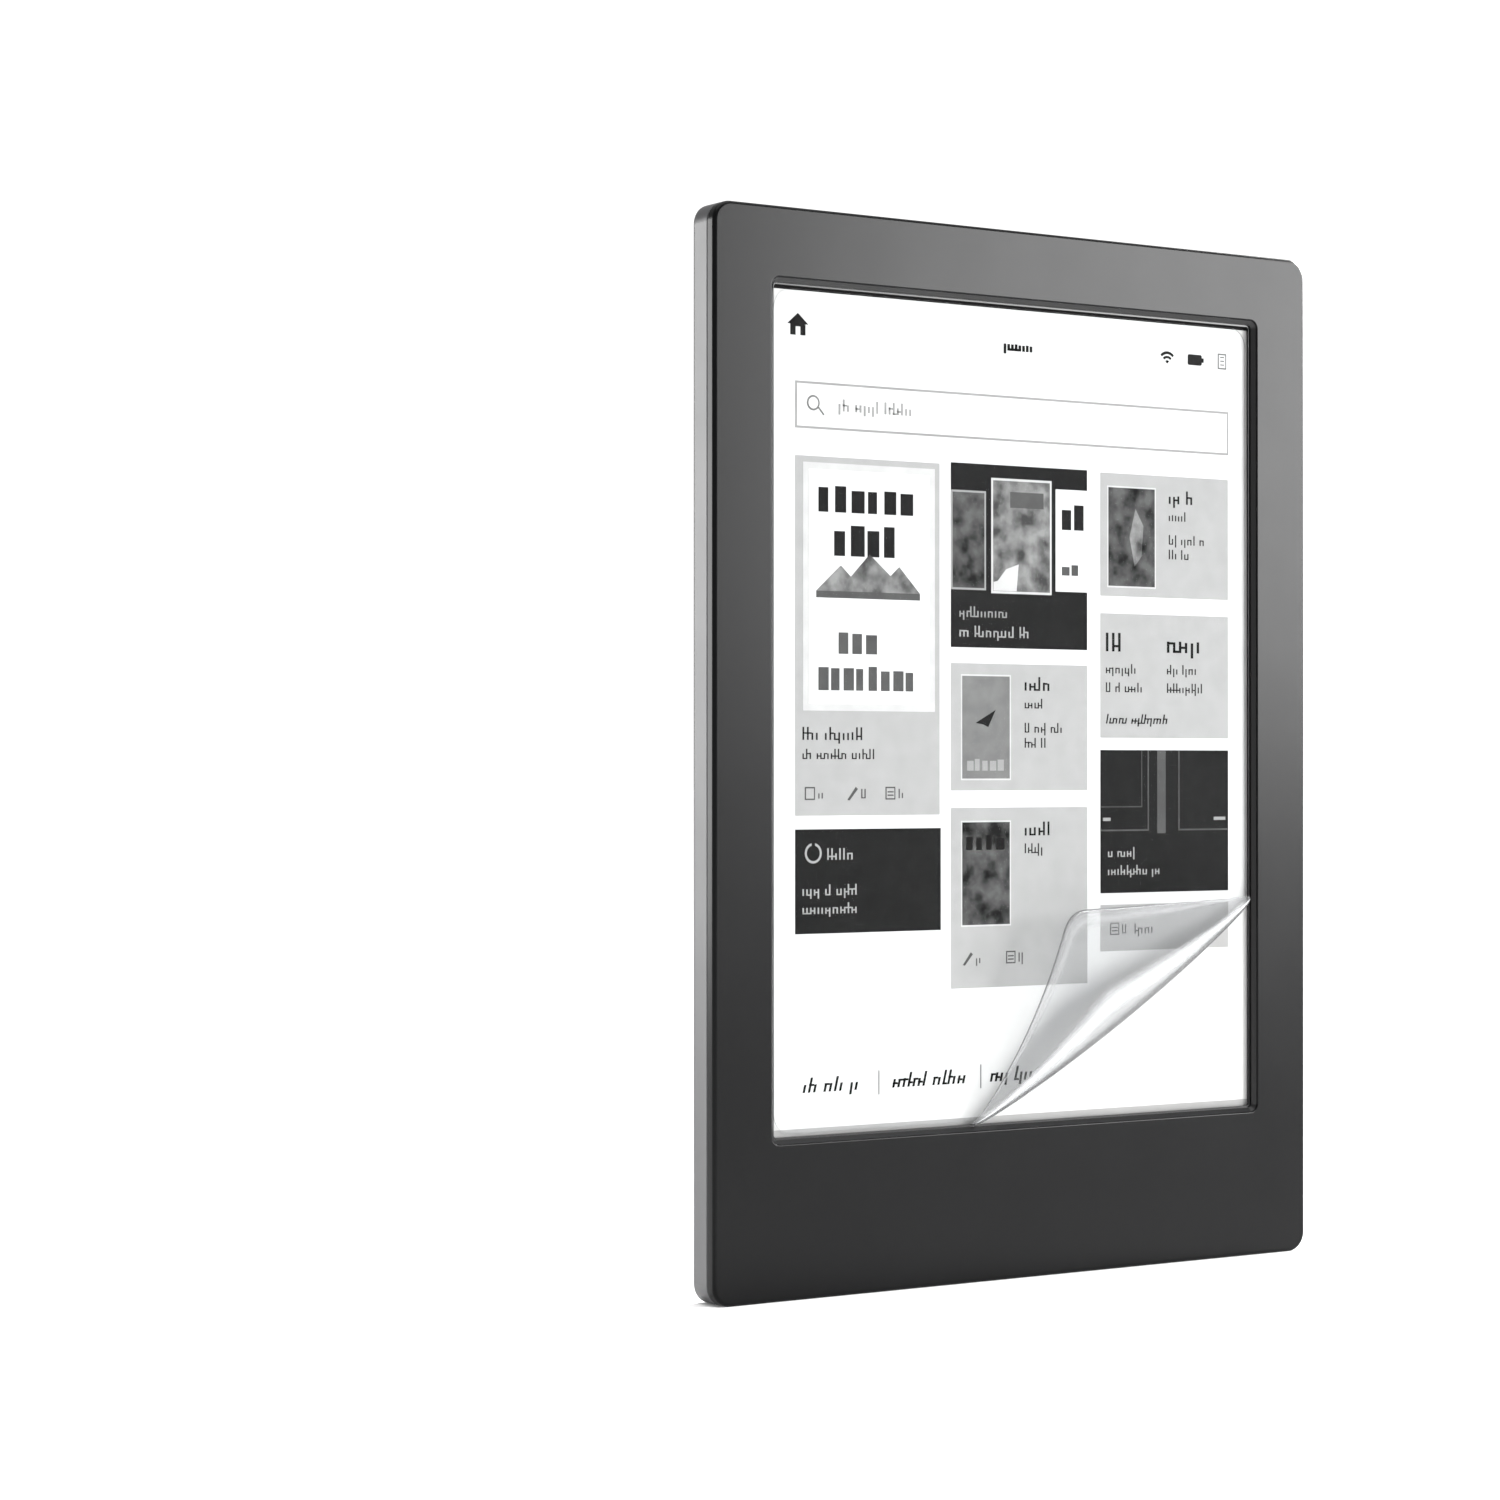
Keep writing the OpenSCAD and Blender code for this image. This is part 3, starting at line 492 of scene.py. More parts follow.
class Tone(Enum):
    """The greys that the page is drawn in: how much light each returns, and how blotched it is."""

    PAGE = (0.43, 0.01)
    PALE = (0.34, 0.05)
    CARD = (0.235, 0.03)
    LIGHT = (0.19, 0.05)
    GREY = (0.11, 0.12)
    MID = (0.05, 0.12)
    DARK = (0.008, 0.1)
    NIGHT = (0.036, 0.9)
    DAY = (0.1, 0.72)


@dataclass(frozen=True)
class Corner:
    """A rounded rectangle in the device's face: its half sizes, its middle height and its corner radius."""

    half_w: float
    half_h: float
    middle: float
    radius: float
    across: float = 0.0
    steps: int = 12

    def ring(self, inset: float) -> np.ndarray:
        """The outline moved inwards, as x and height.

        Each corner is an arc: centre + radius * (cos a, sin a), with a running over a quarter turn.

        Args:
            inset: Distance inwards; less than nought moves the outline outwards.

        Returns:
            Points in order, counter-clockwise, shaped (4 * (steps + 1), 2).
        """
        radius = max(self.radius - inset, 0.05 * MM)
        quarter = np.linspace(0, math.pi / 2, self.steps + 1)
        turn = (quarter[None, :] + np.arange(4)[:, None] * math.pi / 2).ravel()
        side = np.array([[1, 1], [-1, 1], [-1, -1], [1, -1]]).repeat(self.steps + 1, axis=0)
        centre = side * (np.array([self.half_w, self.half_h]) - inset - radius)
        arc = radius * np.stack([np.cos(turn), np.sin(turn)], axis=1)
        return centre + arc + np.array([self.across, self.middle])


def standing(ring: np.ndarray, y: object) -> np.ndarray:
    """Stands a flat outline up: x, then y, then height."""
    return np.stack([ring[:, 0], np.broadcast_to(y, len(ring)), ring[:, 1]], axis=1)


def lying(ring: np.ndarray, z: float) -> np.ndarray:
    """Lays a flat outline down at a height: its second number becomes the depth."""
    return np.stack([ring[:, 0], ring[:, 1], np.full(len(ring), z)], axis=1)


def carried(rings: np.ndarray, closed: bool, first: int = 0) -> list[list[int]]:
    """Faces between rings of points that follow one another along a profile.

    Args:
        rings: Points shaped (rings, points in a ring, 3).
        closed: Whether the last ring joins the first one.
        first: The number of the first point.

    Returns:
        Four point numbers for each face.
    """
    count, around = rings.shape[:2]
    index = first + np.arange(count * around).reshape(count, around)
    right = np.roll(index, -1, axis=1)
    quads = np.stack([index, right, np.roll(right, -1, axis=0), np.roll(index, -1, axis=0)], axis=-1)
    return (quads if closed else quads[:-1]).reshape(-1, 4).tolist()


def capped(rings: np.ndarray, first: int = 0) -> list[list[int]]:
    """Faces of a solid between its first and last ring, with a cap on each end.

    Args:
        rings: Points shaped (rings, points in a ring, 3).
        first: The number of the first point.

    Returns:
        The point numbers of each face.
    """
    count, around = rings.shape[:2]
    start = list(range(first, first + around))
    end = list(range(first + (count - 1) * around, first + count * around))
    return carried(rings, False, first) + [start[::-1], end]


def arc_profile(size: float, steps: int) -> np.ndarray:
    """A quarter round between a wall and a face: pairs of inset and drop, size * (1 - cos a, 1 - sin a)."""
    turn = np.linspace(0, math.pi / 2, steps + 1)
    return size * np.stack([1 - np.cos(turn), 1 - np.sin(turn)], axis=1)


def face_outwards(mesh: bpy.types.Mesh) -> None:
    """Turns the faces of a closed mesh outwards.

    Args:
        mesh: The mesh to change.
    """
    work = bmesh.new()
    work.from_mesh(mesh)
    bmesh.ops.recalc_face_normals(work, faces=work.faces)
    work.to_mesh(mesh)
    work.free()


def placed(name: str, data: bpy.types.ID) -> bpy.types.Object:
    """Makes an object from its data and links it to the scene.

    Args:
        name: The object's name.
        data: Its mesh, light or camera.

    Returns:
        The new object.
    """
    made = bpy.data.objects.new(name, data)
    bpy.context.scene.collection.objects.link(made)
    return made


def make_piece(name: str, points: np.ndarray, faces: list, materials: list[bpy.types.Material],
               body: str, replaced: tuple[str, ...] = (), sharp: float = 28.0,
               closed: bool = True) -> bpy.types.Object:
    """Puts points and faces into a new object that rides on a body.

    Args:
        name: The piece's name.
        points: Corner points in metres.
        faces: Point numbers of each face.
        materials: The piece's materials.
        body: The CAD body that the piece moves with.
        replaced: CAD nodes that the piece stands for.
        sharp: Edges that turn by more than this many degrees stay sharp.
        closed: Whether the mesh is a closed solid whose faces can be turned outwards.

    Returns:
        The new object.
    """
    mesh = bpy.data.meshes.new(name)
    mesh.from_pydata(np.asarray(points).tolist(), [], [list(face) for face in faces])
    if closed:
        face_outwards(mesh)
    mesh.polygons.foreach_set("use_smooth", np.ones(len(mesh.polygons), bool))
    mesh.set_sharp_from_angle(angle=math.radians(sharp))
    for material in materials:
        mesh.materials.append(material)
    piece = placed(name, mesh)
    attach(piece, body)
    if replaced:
        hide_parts(*replaced)
    LOG.info("%s: %d points, %d faces", name, len(mesh.vertices), len(mesh.polygons))
    return piece


@dataclass
class Layout:
    """Planes and outlines that the pieces share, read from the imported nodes."""

    corner: float = 3.0 * MM
    window_corner: float = 1.3 * MM
    window_gap: Pair = (0.3 * MM, 0.35 * MM)
    border_w: float = 0.9 * MM
    border_d: float = 1.0 * MM

    def __post_init__(self) -> None:
        """Reads the boxes of the shells, the film and the touch sensor."""
        low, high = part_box("front_bezel")
        self.front = low.y
        self.outline = Corner(high.x, (high.z - low.z) / 2, (high.z + low.z) / 2, self.corner)
        film_low, film_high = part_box("screen_film")
        half_w = film_high.x + self.window_gap[0]
        half_h = (film_high.z - film_low.z) / 2 + self.window_gap[1]
        middle = (film_high.z + film_low.z) / 2
        self.window = Corner(half_w + self.border_w, half_h + self.border_w, middle, self.window_corner)
        self.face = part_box("touch_sensor")
        self.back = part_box("rear_cover")[1].y


@dataclass
class Bezel:
    """The front frame: a moulded plate with a soft outer edge and a sloped border round the display."""

    layout: Layout
    edge: float = 0.55 * MM
    lip_edge: float = 0.22 * MM
    hold: float = 0.06 * MM
    step: float = 0.28 * MM
    seam: float = 1.8 * MM
    seam_cut: float = 0.14 * MM
    plate: float = 1.4 * MM
    lip_in: float = 1.55 * MM
    lip_t: float = 0.9 * MM
    lip_d: float = 2.8 * MM
    border_rings: int = 5

    def rings(self) -> np.ndarray:
        """The frame's profile carried round it: along the lip, over the front and down the window's border.

        Each profile point is an inset from the outline or from the window, and a depth behind the face.

        Returns:
            Points shaped (rings, points in a ring, 3).
        """
        back = [(self.lip_in + self.lip_t, self.plate), (self.lip_in + self.lip_t, self.lip_d),
                (self.lip_in, self.lip_d), (self.lip_in, self.seam), (self.seam_cut, self.seam),
                (0.0, self.seam - self.seam_cut)]
        outer = back + arc_profile(self.edge, 8).tolist() + [(self.edge + self.hold, 0.0)]
        soft = arc_profile(self.lip_edge, 4)[::-1]
        border_w, border_d = self.layout.border_w, self.layout.border_d
        inner = [(-self.lip_edge - self.hold, 0.0)] + [(-point[0], point[1]) for point in soft]
        inner += [(border_w - self.step, border_d - self.step), (border_w - self.step, border_d),
                  (border_w, border_d), (border_w, self.plate)]
        front = self.layout.front
        rings = [standing(self.layout.outline.ring(inset), front + depth) for inset, depth in outer]
        rings += [standing(self.layout.window.ring(inset), front + depth) for inset, depth in inner]
        return np.array(rings)

    def build(self, finish: Plastic, border: Plastic) -> bpy.types.Object:
        """Makes the frame, and gives the sloped border round the window its own finish.

        Args:
            finish: The frame's plastic.
            border: The plastic of the border.

        Returns:
            The new piece.
        """
        rings = self.rings()
        piece = make_piece("bezel_frame", rings.reshape(-1, 3), carried(rings, True),
                           [finish.material(), border.material()], "root", ("front_bezel",))
        band = np.arange(len(rings)) >= len(rings) - self.border_rings
        piece.data.polygons.foreach_set("material_index", band.repeat(rings.shape[1]).astype(np.int32))
        return piece


@dataclass
class Opening:
    """A rounded slot through the cover's top or bottom wall, a little wider at its mouth."""

    node: str
    half_w: float
    half_d: float
    radius: float
    top: bool
    gap: float
    flare: float = 0.22 * MM

    def cutter(self, wall: float, height: float) -> np.ndarray:
        """Rings of a bar that passes through the wall: straight inside, and widening over the last stretch.

        Args:
            wall: Thickness of the wall that the slot goes through.
            height: Height of the shell.

        Returns:
            Points shaped (rings, points in a ring, 3).
        """
        low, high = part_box(self.node)
        across = (low.x + high.x) / 2
        depth = (low.y + high.y) / 2
        half_w, half_d = self.half_w + self.gap, self.half_d + self.gap
        shape = Corner(half_w, half_d, depth, self.radius + self.gap, across, 6)
        edge, out = (height, 1.0) if self.top else (0.0, -1.0)
        steps = [(-2 * wall, 0.0), (-self.flare, 0.0), (0.0, -self.flare), (wall, -self.flare)]
        return np.array([lying(shape.ring(grow), edge + out * along) for along, grow in steps])


@dataclass
class Cover:
    """The rear shell: a deep tray whose back has a flat middle and three sloped facets."""

    layout: Layout
    wall: float = 1.4 * MM
    floor: float = 1.2 * MM
    seam: float = 1.8 * MM
    seam_cut: float = 0.14 * MM
    edge: float = 0.9 * MM
    fall: float = 2.5 * MM
    right_top: float = 15.2 * MM
    right_base: float = 20.7 * MM
    left: float = 17.0 * MM
    top_start: float = 28.2 * MM
    top_depth: float = 15.7 * MM
    margin: float = 1.05 * MM
    crisp_angle: float = 30.0
    facet_size: float = 5 * MM

    def __post_init__(self) -> None:
        """Places the ridges: each is a line, the side its facet is on, and how fast that facet falls."""
        half = self.layout.outline.half_w
        high = self.layout.outline.half_h * 2
        lines = [((half - self.right_base, 0.0), (half - self.right_top, high), -1.0,
                  2 * self.fall / (self.right_top + self.right_base)),
                 ((self.left - half, 0.0), (self.left - half, high), 1.0, self.fall / self.left),
                 ((-half, high - self.top_depth), (half - self.top_start, high), 1.0,
                  self.fall / self.top_depth)]
        self.planes = []
        for start, end, side, slope in lines:
            way = np.subtract(end, start) / np.linalg.norm(np.subtract(end, start))
            normal = side * np.array([-way[1], way[0]])
            self.planes.append((normal * slope, -float(normal @ np.array(start)) * slope))
        left_ridge = self.left - half
        top_from, top_to = lines[2][:2]
        rise = (top_to[1] - top_from[1]) / (top_to[0] - top_from[0])
        self.joint = np.array([left_ridge, top_from[1] + rise * (left_ridge - top_from[0])])

    def falls(self, ring: np.ndarray) -> np.ndarray:
        """How far each facet's plane lies in front of the flat middle at each point, the middle being 0."""
        planes = [ring @ normal + offset for normal, offset in self.planes]
        return np.stack([np.zeros(len(ring)), *planes], axis=1)

    def depth(self, ring: np.ndarray) -> np.ndarray:
        """Depth of the back at each point: the flat middle, less the largest fall there."""
        return self.layout.back - self.falls(ring).max(axis=1)

    def loop(self) -> tuple[np.ndarray, np.ndarray]:
        """The outline with a point added wherever a ridge crosses it.

        Returns:
            Points on the outline, and the way inwards at each.
        """
        rim = self.layout.outline.ring(0.0)
        ring = self.layout.outline.ring(self.margin)
        after, rim_after = np.roll(ring, -1, axis=0), np.roll(rim, -1, axis=0)
        falls, next_falls = self.falls(ring), self.falls(after)
        place, start, end = [np.arange(len(ring), dtype=float)], [rim], [ring]
        for first, second in ((0, 1), (0, 2), (0, 3), (2, 3)):
            gap = falls[:, first] - falls[:, second]
            next_gap = next_falls[:, first] - next_falls[:, second]
            share = gap / np.where(gap == next_gap, 1.0, gap - next_gap)
            at = ring + (after - ring) * share[:, None]
            real = (gap * next_gap < 0) & (self.falls(at).max(axis=1) <= self.falls(at)[:, first] + 1e-9)
            place.append(np.flatnonzero(real) + share[real])
            start.append((rim + (rim_after - rim) * share[:, None])[real])
            end.append(at[real])
        order = np.argsort(np.concatenate(place))
        rim, ring = np.concatenate(start)[order], np.concatenate(end)[order]
        return rim, (ring - rim) / self.margin

    def facets(self, ring: np.ndarray, first: int, joint: int) -> list[list[int]]:
        """Splits the back inside a ring into its flat middle and its facets.

        Args:
            ring: The ring's points as x and height.
            first: The number of the ring's first point.
            joint: The number of the point where the left and top ridges meet.

        Returns:
            The point numbers of each face.
        """
        count = len(ring)
        middle = (ring + np.roll(ring, -1, axis=0)) / 2
        owner = self.falls(middle).argmax(axis=1)
        faces = []
        for facet in range(4):
            mine = (owner == facet) | (np.roll(owner, 1) == facet)
            start = next(i for i in range(count) if mine[i] and owner[i - 1] != facet)
            face = []
            for i in (np.arange(count) + start) % count:
                if not mine[i]:
                    continue
                face.append(first + int(i))
                if owner[i] != facet:
                    later = i
                    skipped = set()
                    while owner[later % count] != facet:
                        skipped.add(int(owner[later % count]))
                        later += 1
                    if facet != 1 and skipped != {1}:
                        face.append(joint)
            faces.append(face)
        return faces

    def build(self, finish: Plastic, openings: list[Opening]) -> bpy.types.Object:
        """Makes the shell: a wall carried round the outline, a rounded edge, and flat faces across the back.

        Args:
            finish: Its plastic.
            openings: The slots through its top and bottom walls.

        Returns:
            The new piece.
        """
        rim, inward = self.loop()
        front = self.layout.front

        def ring_at(inset: float) -> np.ndarray:
            """The outline's points moved inwards."""
            return rim + inward * inset

        inside = ring_at(self.wall)
        rings = [standing(inside, self.depth(inside) - self.floor), standing(inside, front + self.seam),
                 standing(ring_at(self.seam_cut), front + self.seam),
                 standing(rim, front + self.seam + self.seam_cut)]
        for inset, drop in arc_profile(self.edge, 10):
            ring = ring_at(inset)
            rings.append(standing(ring, self.depth(ring) - drop))
        last = ring_at(self.margin)
        rings.append(standing(last, self.depth(last)))
        rings = np.array(rings)
        count = len(rim)
        total = len(rings) * count
        joint = [self.joint[0], self.layout.back, self.joint[1]]
        inner_joint = [self.joint[0], self.layout.back - self.floor, self.joint[1]]
        points = np.concatenate([rings.reshape(-1, 3), [joint, inner_joint]])
        faces = carried(rings, False)
        faces += self.facets(last, total - count, total)
        faces += [face[::-1] for face in self.facets(inside, 0, total + 1)]
        piece = make_piece("cover_shell", points, faces, [finish.material()], "root",
                           ("rear_cover",), sharp=5.0)
        for opening in openings:
            self.cut(piece, opening)
        self.soften(piece)
        return piece

    def cut(self, piece: bpy.types.Object, opening: Opening) -> None:
        """Cuts one slot through the shell and keeps the result as the piece's own mesh.

        Args:
            piece: The shell.
            opening: The slot.
        """
        rings = opening.cutter(self.wall, 2 * self.layout.outline.half_h)
        mesh = bpy.data.meshes.new("cutter")
        mesh.from_pydata(rings.reshape(-1, 3).tolist(), [], capped(rings))
        face_outwards(mesh)
        tool = placed("cutter", mesh)
        slot = piece.modifiers.new("slot", "BOOLEAN")
        slot.operation = "DIFFERENCE"
        slot.solver = "EXACT"
        slot.object = tool
        graph = bpy.context.evaluated_depsgraph_get()
        result = bpy.data.meshes.new_from_object(piece.evaluated_get(graph))
        piece.modifiers.clear()
        piece.data = result
        bpy.data.objects.remove(tool)

    def soften(self, piece: bpy.types.Object) -> None:
        """Shades the rounded edge smoothly and keeps the ridges and the slots' edges crisp.

        Args:
            piece: The shell.
        """
        mesh = piece.data
        mesh.name = piece.name
        mesh.set_sharp_from_angle(angle=math.radians(self.crisp_angle))
        sides = np.array([len(face.vertices) for face in mesh.polygons])
        areas = np.array([face.area for face in mesh.polygons])
        flat = (sides > 4) | (areas > self.facet_size ** 2)
        mesh.polygons.foreach_set("use_smooth", ~flat)


@dataclass
class Button:
    """The power button: a rounded bar with a flange under the cover's wall and a short stem on its switch."""

    cap: Pair = (9.0 * MM, 1.8 * MM)
    cap_radius: float = 0.5 * MM
    flange: Pair = (10.4 * MM, 2.8 * MM)
    flange_t: float = 0.6 * MM
    stem: Pair = (2.0 * MM, 0.8 * MM)
    stem_len: float = 1.45 * MM
    edge: float = 0.25 * MM
    dish: float = 0.06 * MM

    def rings(self) -> np.ndarray:
        """Rounded outlines from the stem's foot up to the cap, whose top edge is a quarter round.

        Returns:
            Points shaped (rings, points in a ring, 3).
        """
        low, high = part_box("power_button")
        across, depth = (low.x + high.x) / 2, (low.y + high.y) / 2
        foot, shoulder = low.z + self.stem_len, low.z + self.stem_len + self.flange_t

        def ring(size: Pair, radius: float, inset: float, z: float) -> np.ndarray:
            """One outline at a height."""
            return lying(Corner(size[0] / 2, size[1] / 2, depth, radius, across, 6).ring(inset), z)

        small = 0.3 * MM
        steps = [ring(self.stem, small, 0.0, low.z), ring(self.stem, small, 0.0, foot),
                 ring(self.flange, self.cap_radius, 0.0, foot),
                 ring(self.flange, self.cap_radius, 0.0, shoulder),
                 ring(self.cap, self.cap_radius, 0.0, shoulder)]
        for inset, drop in arc_profile(self.edge, 6):
            steps.append(ring(self.cap, self.cap_radius, inset, high.z - drop))
        steps.append(ring(self.cap, self.cap_radius, 2 * self.edge, high.z - self.dish))
        return np.array(steps)

    def build(self, finish: Plastic) -> bpy.types.Object:
        """Makes the button.

        Args:
            finish: Its plastic.

        Returns:
            The new piece.
        """
        rings = self.rings()
        return make_piece("button_cap", rings.reshape(-1, 3), capped(rings), [finish.material()],
                          "power_button_body", ("power_button",))


@dataclass
class Marks:
    """Flat shapes of one tone, gathered until they become one piece of ink in the page."""

    points: list[np.ndarray] = field(default_factory=list)
    faces: list[list[int]] = field(default_factory=list)
    count: int = 0

    def add(self, ring: np.ndarray, front: float, back: float) -> None:
        """Adds a thin prism with the ring as its outline.

        Args:
            ring: Outline as x and height.
            front: Where its face lies.
            back: Where its back lies.
        """
        rings = np.array([standing(ring, back), standing(ring, front)])
        self.faces += capped(rings, self.count)
        self.points.append(rings.reshape(-1, 3))
        self.count += 2 * len(ring)


@dataclass
class Page:
    """The lit page: a white sheet behind the touch sensor's place, with cards, pictures and rows of marks.

    Positions are x and height in millimetres. A row of marks is short upright strokes of uneven
    height with a few bars across them, drawn at random: it looks like print and spells nothing.
    """

    layout: Layout
    sink: float = 0.1 * MM
    layer: float = 0.02 * MM
    marks: dict[Tone, Marks] = field(default_factory=dict)
    draw: np.random.Generator = field(default_factory=lambda: np.random.default_rng(7))

    def shape(self, ring: np.ndarray, tone: Tone, level: int) -> None:
        """Adds one filled outline.

        Args:
            ring: Its points in millimetres.
            tone: Its grey.
            level: Layers in front of the page.
        """
        plane = self.layout.face[0].y + self.sink
        front = plane - level * self.layer
        self.marks.setdefault(tone, Marks()).add(np.asarray(ring) * MM, front, plane + self.layer)

    def panel(self, box: Box, tone: Tone, level: int, radius: float = 0.0) -> None:
        """Adds a rectangle, with round corners where it has a radius.

        Args:
            box: Left, bottom, right and top.
            tone: Its grey.
            level: Layers in front of the page.
            radius: Corner radius.
        """
        left, bottom, right, top = box
        if radius:
            outline = Corner((right - left) / 2, (top - bottom) / 2, (top + bottom) / 2, radius,
                             (left + right) / 2, 4)
            self.shape(outline.ring(0.0), tone, level)
        else:
            self.shape(np.array([[left, bottom], [right, bottom], [right, top], [left, top]]), tone, level)

    def outlined(self, box: Box, line: float, tone: Tone, inside: Tone, level: int) -> None:
        """Adds a rectangle with a thin outline of another tone.

        Args:
            box: Left, bottom, right and top.
            line: Width of the outline.
            tone: The outline's grey.
            inside: The grey within it.
            level: Layers in front of the page.
        """
        left, bottom, right, top = box
        self.panel(box, tone, level)
        self.panel((left + line, bottom + line, right - line, top - line), inside, level + 1)

    def words(self, start: float, end: float, base: float, size: float, tone: Tone, level: int,
              weight: float = 0.15, slant: float = 0.0) -> None:
        """Adds a row of marks between two places.

        Args:
            start: Where the row starts.
            end: Where it ends, at the latest.
            base: Height of the foot of the marks.
            size: Height of the tall marks.
            tone: Their grey.
            level: Layers in front of the page.
            weight: Width of a stroke, as a share of the size.
            slant: How far a stroke leans over its height, as a share of the height.
        """
        pitch, low, stroke = 0.42 * size, 0.62 * size, weight * size
        count = max(int((end - start) / pitch), 2)
        place = np.arange(count)
        gap = (self.draw.random(count) < 0.16) & (place > 1) & (place < count - 2)
        gap &= ~np.roll(gap, 1)
        height = np.where(self.draw.random(count) < 0.25, size, low * self.draw.uniform(0.85, 1.0, count))
        drop = (self.draw.random(count) < 0.1) * 0.28 * size
        bar = self.draw.integers(0, 5, count)
        at = start + pitch * place
        for x, foot, top in zip(at[~gap], (base - drop)[~gap], (base + height)[~gap]):
            lean = slant * (top - base)
            corners = [[x, foot], [x + stroke, foot], [x + stroke + lean, top], [x + lean, top]]
            self.shape(corners, tone, level)
        joined = ~gap & ~np.roll(gap, -1) & (bar < 3) & (place < count - 1)
        for x, kind in zip(at[joined], bar[joined]):
            foot = base + (0.0, low - stroke, (low - stroke) / 2)[kind]
            lean = slant * (foot - base)
            self.panel((x + lean, foot, x + lean + pitch, foot + stroke * 0.75), tone, level)

    def blocks(self, box: Box, count: int, tone: Tone, level: int) -> None:
        """Adds a row of bold bars of uneven width and height, for the title on a cover.

        Args:
            box: Left, bottom, right and top of the row.
            count: How many bars.
            tone: Their grey.
            level: Layers in front of the page.
        """
        left, bottom, right, top = box
        pitch = (right - left) / count
        wide = pitch * self.draw.uniform(0.55, 0.85, count)
        high = (top - bottom) * self.draw.uniform(0.72, 1.0, count)
        for x, w, h in zip(left + pitch * np.arange(count), wide, high):
            self.panel((x, bottom, x + w, bottom + h), tone, level)

    def ring(self, middle: Pair, outer: float, inner: float, tone: Tone, inside: Tone,
             level: int, start: float = 0.0, turn: float = 360.0) -> None:
        """Adds a ring, or a part of one.

        Args:
            middle: Its middle.
            outer: Its outer radius.
            inner: Its inner radius.
            tone: Its grey.
            inside: The grey within a whole ring.
            level: Layers in front of the page.
            start: The angle where a part starts, in degrees.
            turn: How far the part runs on, in degrees.
        """
        angle = np.radians(np.linspace(start, start + turn, 25))
        away = np.stack([np.cos(angle), np.sin(angle)], axis=1)
        if turn >= 360.0:
            self.shape(np.array(middle) + outer * away[:-1], tone, level)
            self.shape(np.array(middle) + inner * away[:-1], inside, level + 1)
        else:
            self.shape(np.concatenate([middle + outer * away, middle + inner * away[::-1]]), tone, level)

    def tag(self, middle: Pair, kind: int, ground: Tone) -> None:
        """A small outline shape with one mark after it, as below each cover.

        Args:
            middle: The shape's middle.
            kind: 0 for a square, 1 for a slanted bar, 2 for a ruled square.
            ground: The tone of the card behind it.
        """
        x, z = middle
        if kind == 1:
            bar = [[x - 1.0, z - 0.9], [x - 0.6, z - 1.0], [x + 0.9, z + 0.7], [x + 0.5, z + 1.0]]
            self.shape(bar, Tone.MID, 2)
        else:
            self.outlined((x - 0.9, z - 0.9, x + 0.9, z + 1.0), 0.2, Tone.MID, ground, 2)
        if kind == 2:
            for rise in (-0.35, 0.15):
                self.panel((x - 0.55, z + rise, x + 0.55, z + rise + 0.2), Tone.MID, 4)
        self.words(x + 1.5, x + 2.3, z - 0.7, 1.4, Tone.MID, 2)

    def header(self) -> None:
        """The top line: a house, a title, a fan of arcs, a battery and a small sheet; and the search box.

        A dark strip of painted shadow, cast by the border's top wall, runs along the page's top, and a grey
        strip of painted reflection from the border's ledge runs along its foot.
        """
        house = np.array([[-1.5, -1.5], [1.5, -1.5], [1.5, 0.3], [2.1, 0.3], [0, 2.1], [-2.1, 0.3],
                          [-1.5, 0.3]])
        self.shape(house * 0.9 + np.array([-40.8, 142.0]), Tone.DARK, 1)
        self.panel((-41.2, 140.65, -40.4, 141.9), Tone.PAGE, 2)
        # painted shadow: a dark strip where the window border's top wall shades the page
        self.panel((-46.0, 147.2, 46.0, 148.4), Tone.DARK, 1)
        # painted reflection: a grey strip where the border's ledge shows light along the page's foot
        self.panel((-46.0, 23.0, 46.0, 24.7), Tone.CARD, 1)
        self.words(-3.0, 3.2, 140.9, 1.7, Tone.DARK, 1, 0.3)
        for outer, inner in ((0.55, 0.0), (1.25, 0.85), (1.95, 1.5)):
            self.ring((29.3, 140.9), outer, inner, Tone.DARK, Tone.PAGE, 1, 45.0, 90.0)
        self.panel((33.5, 141.0, 36.4, 142.7), Tone.DARK, 1, 0.3)
        self.panel((36.4, 141.5, 36.8, 142.2), Tone.DARK, 1)
        self.outlined((39.7, 140.7, 41.5, 143.2), 0.25, Tone.GREY, Tone.PAGE, 1)
        for height in (141.3, 141.9, 142.5):
            self.panel((40.2, height, 41.0, height + 0.2), Tone.GREY, 3)
        self.outlined((-41.3, 127.1, 41.9, 134.0), 0.34, Tone.LIGHT, Tone.PAGE, 1)
        self.ring((-38.1, 130.9), 1.15, 0.85, Tone.GREY, Tone.PAGE, 3)
        self.shape([[-37.3, 130.2], [-37.1, 130.4], [-36.1, 129.3], [-36.3, 129.1]], Tone.GREY, 3)
        self.words(-33.6, -19.5, 129.9, 1.8, Tone.LIGHT, 3, 0.2)

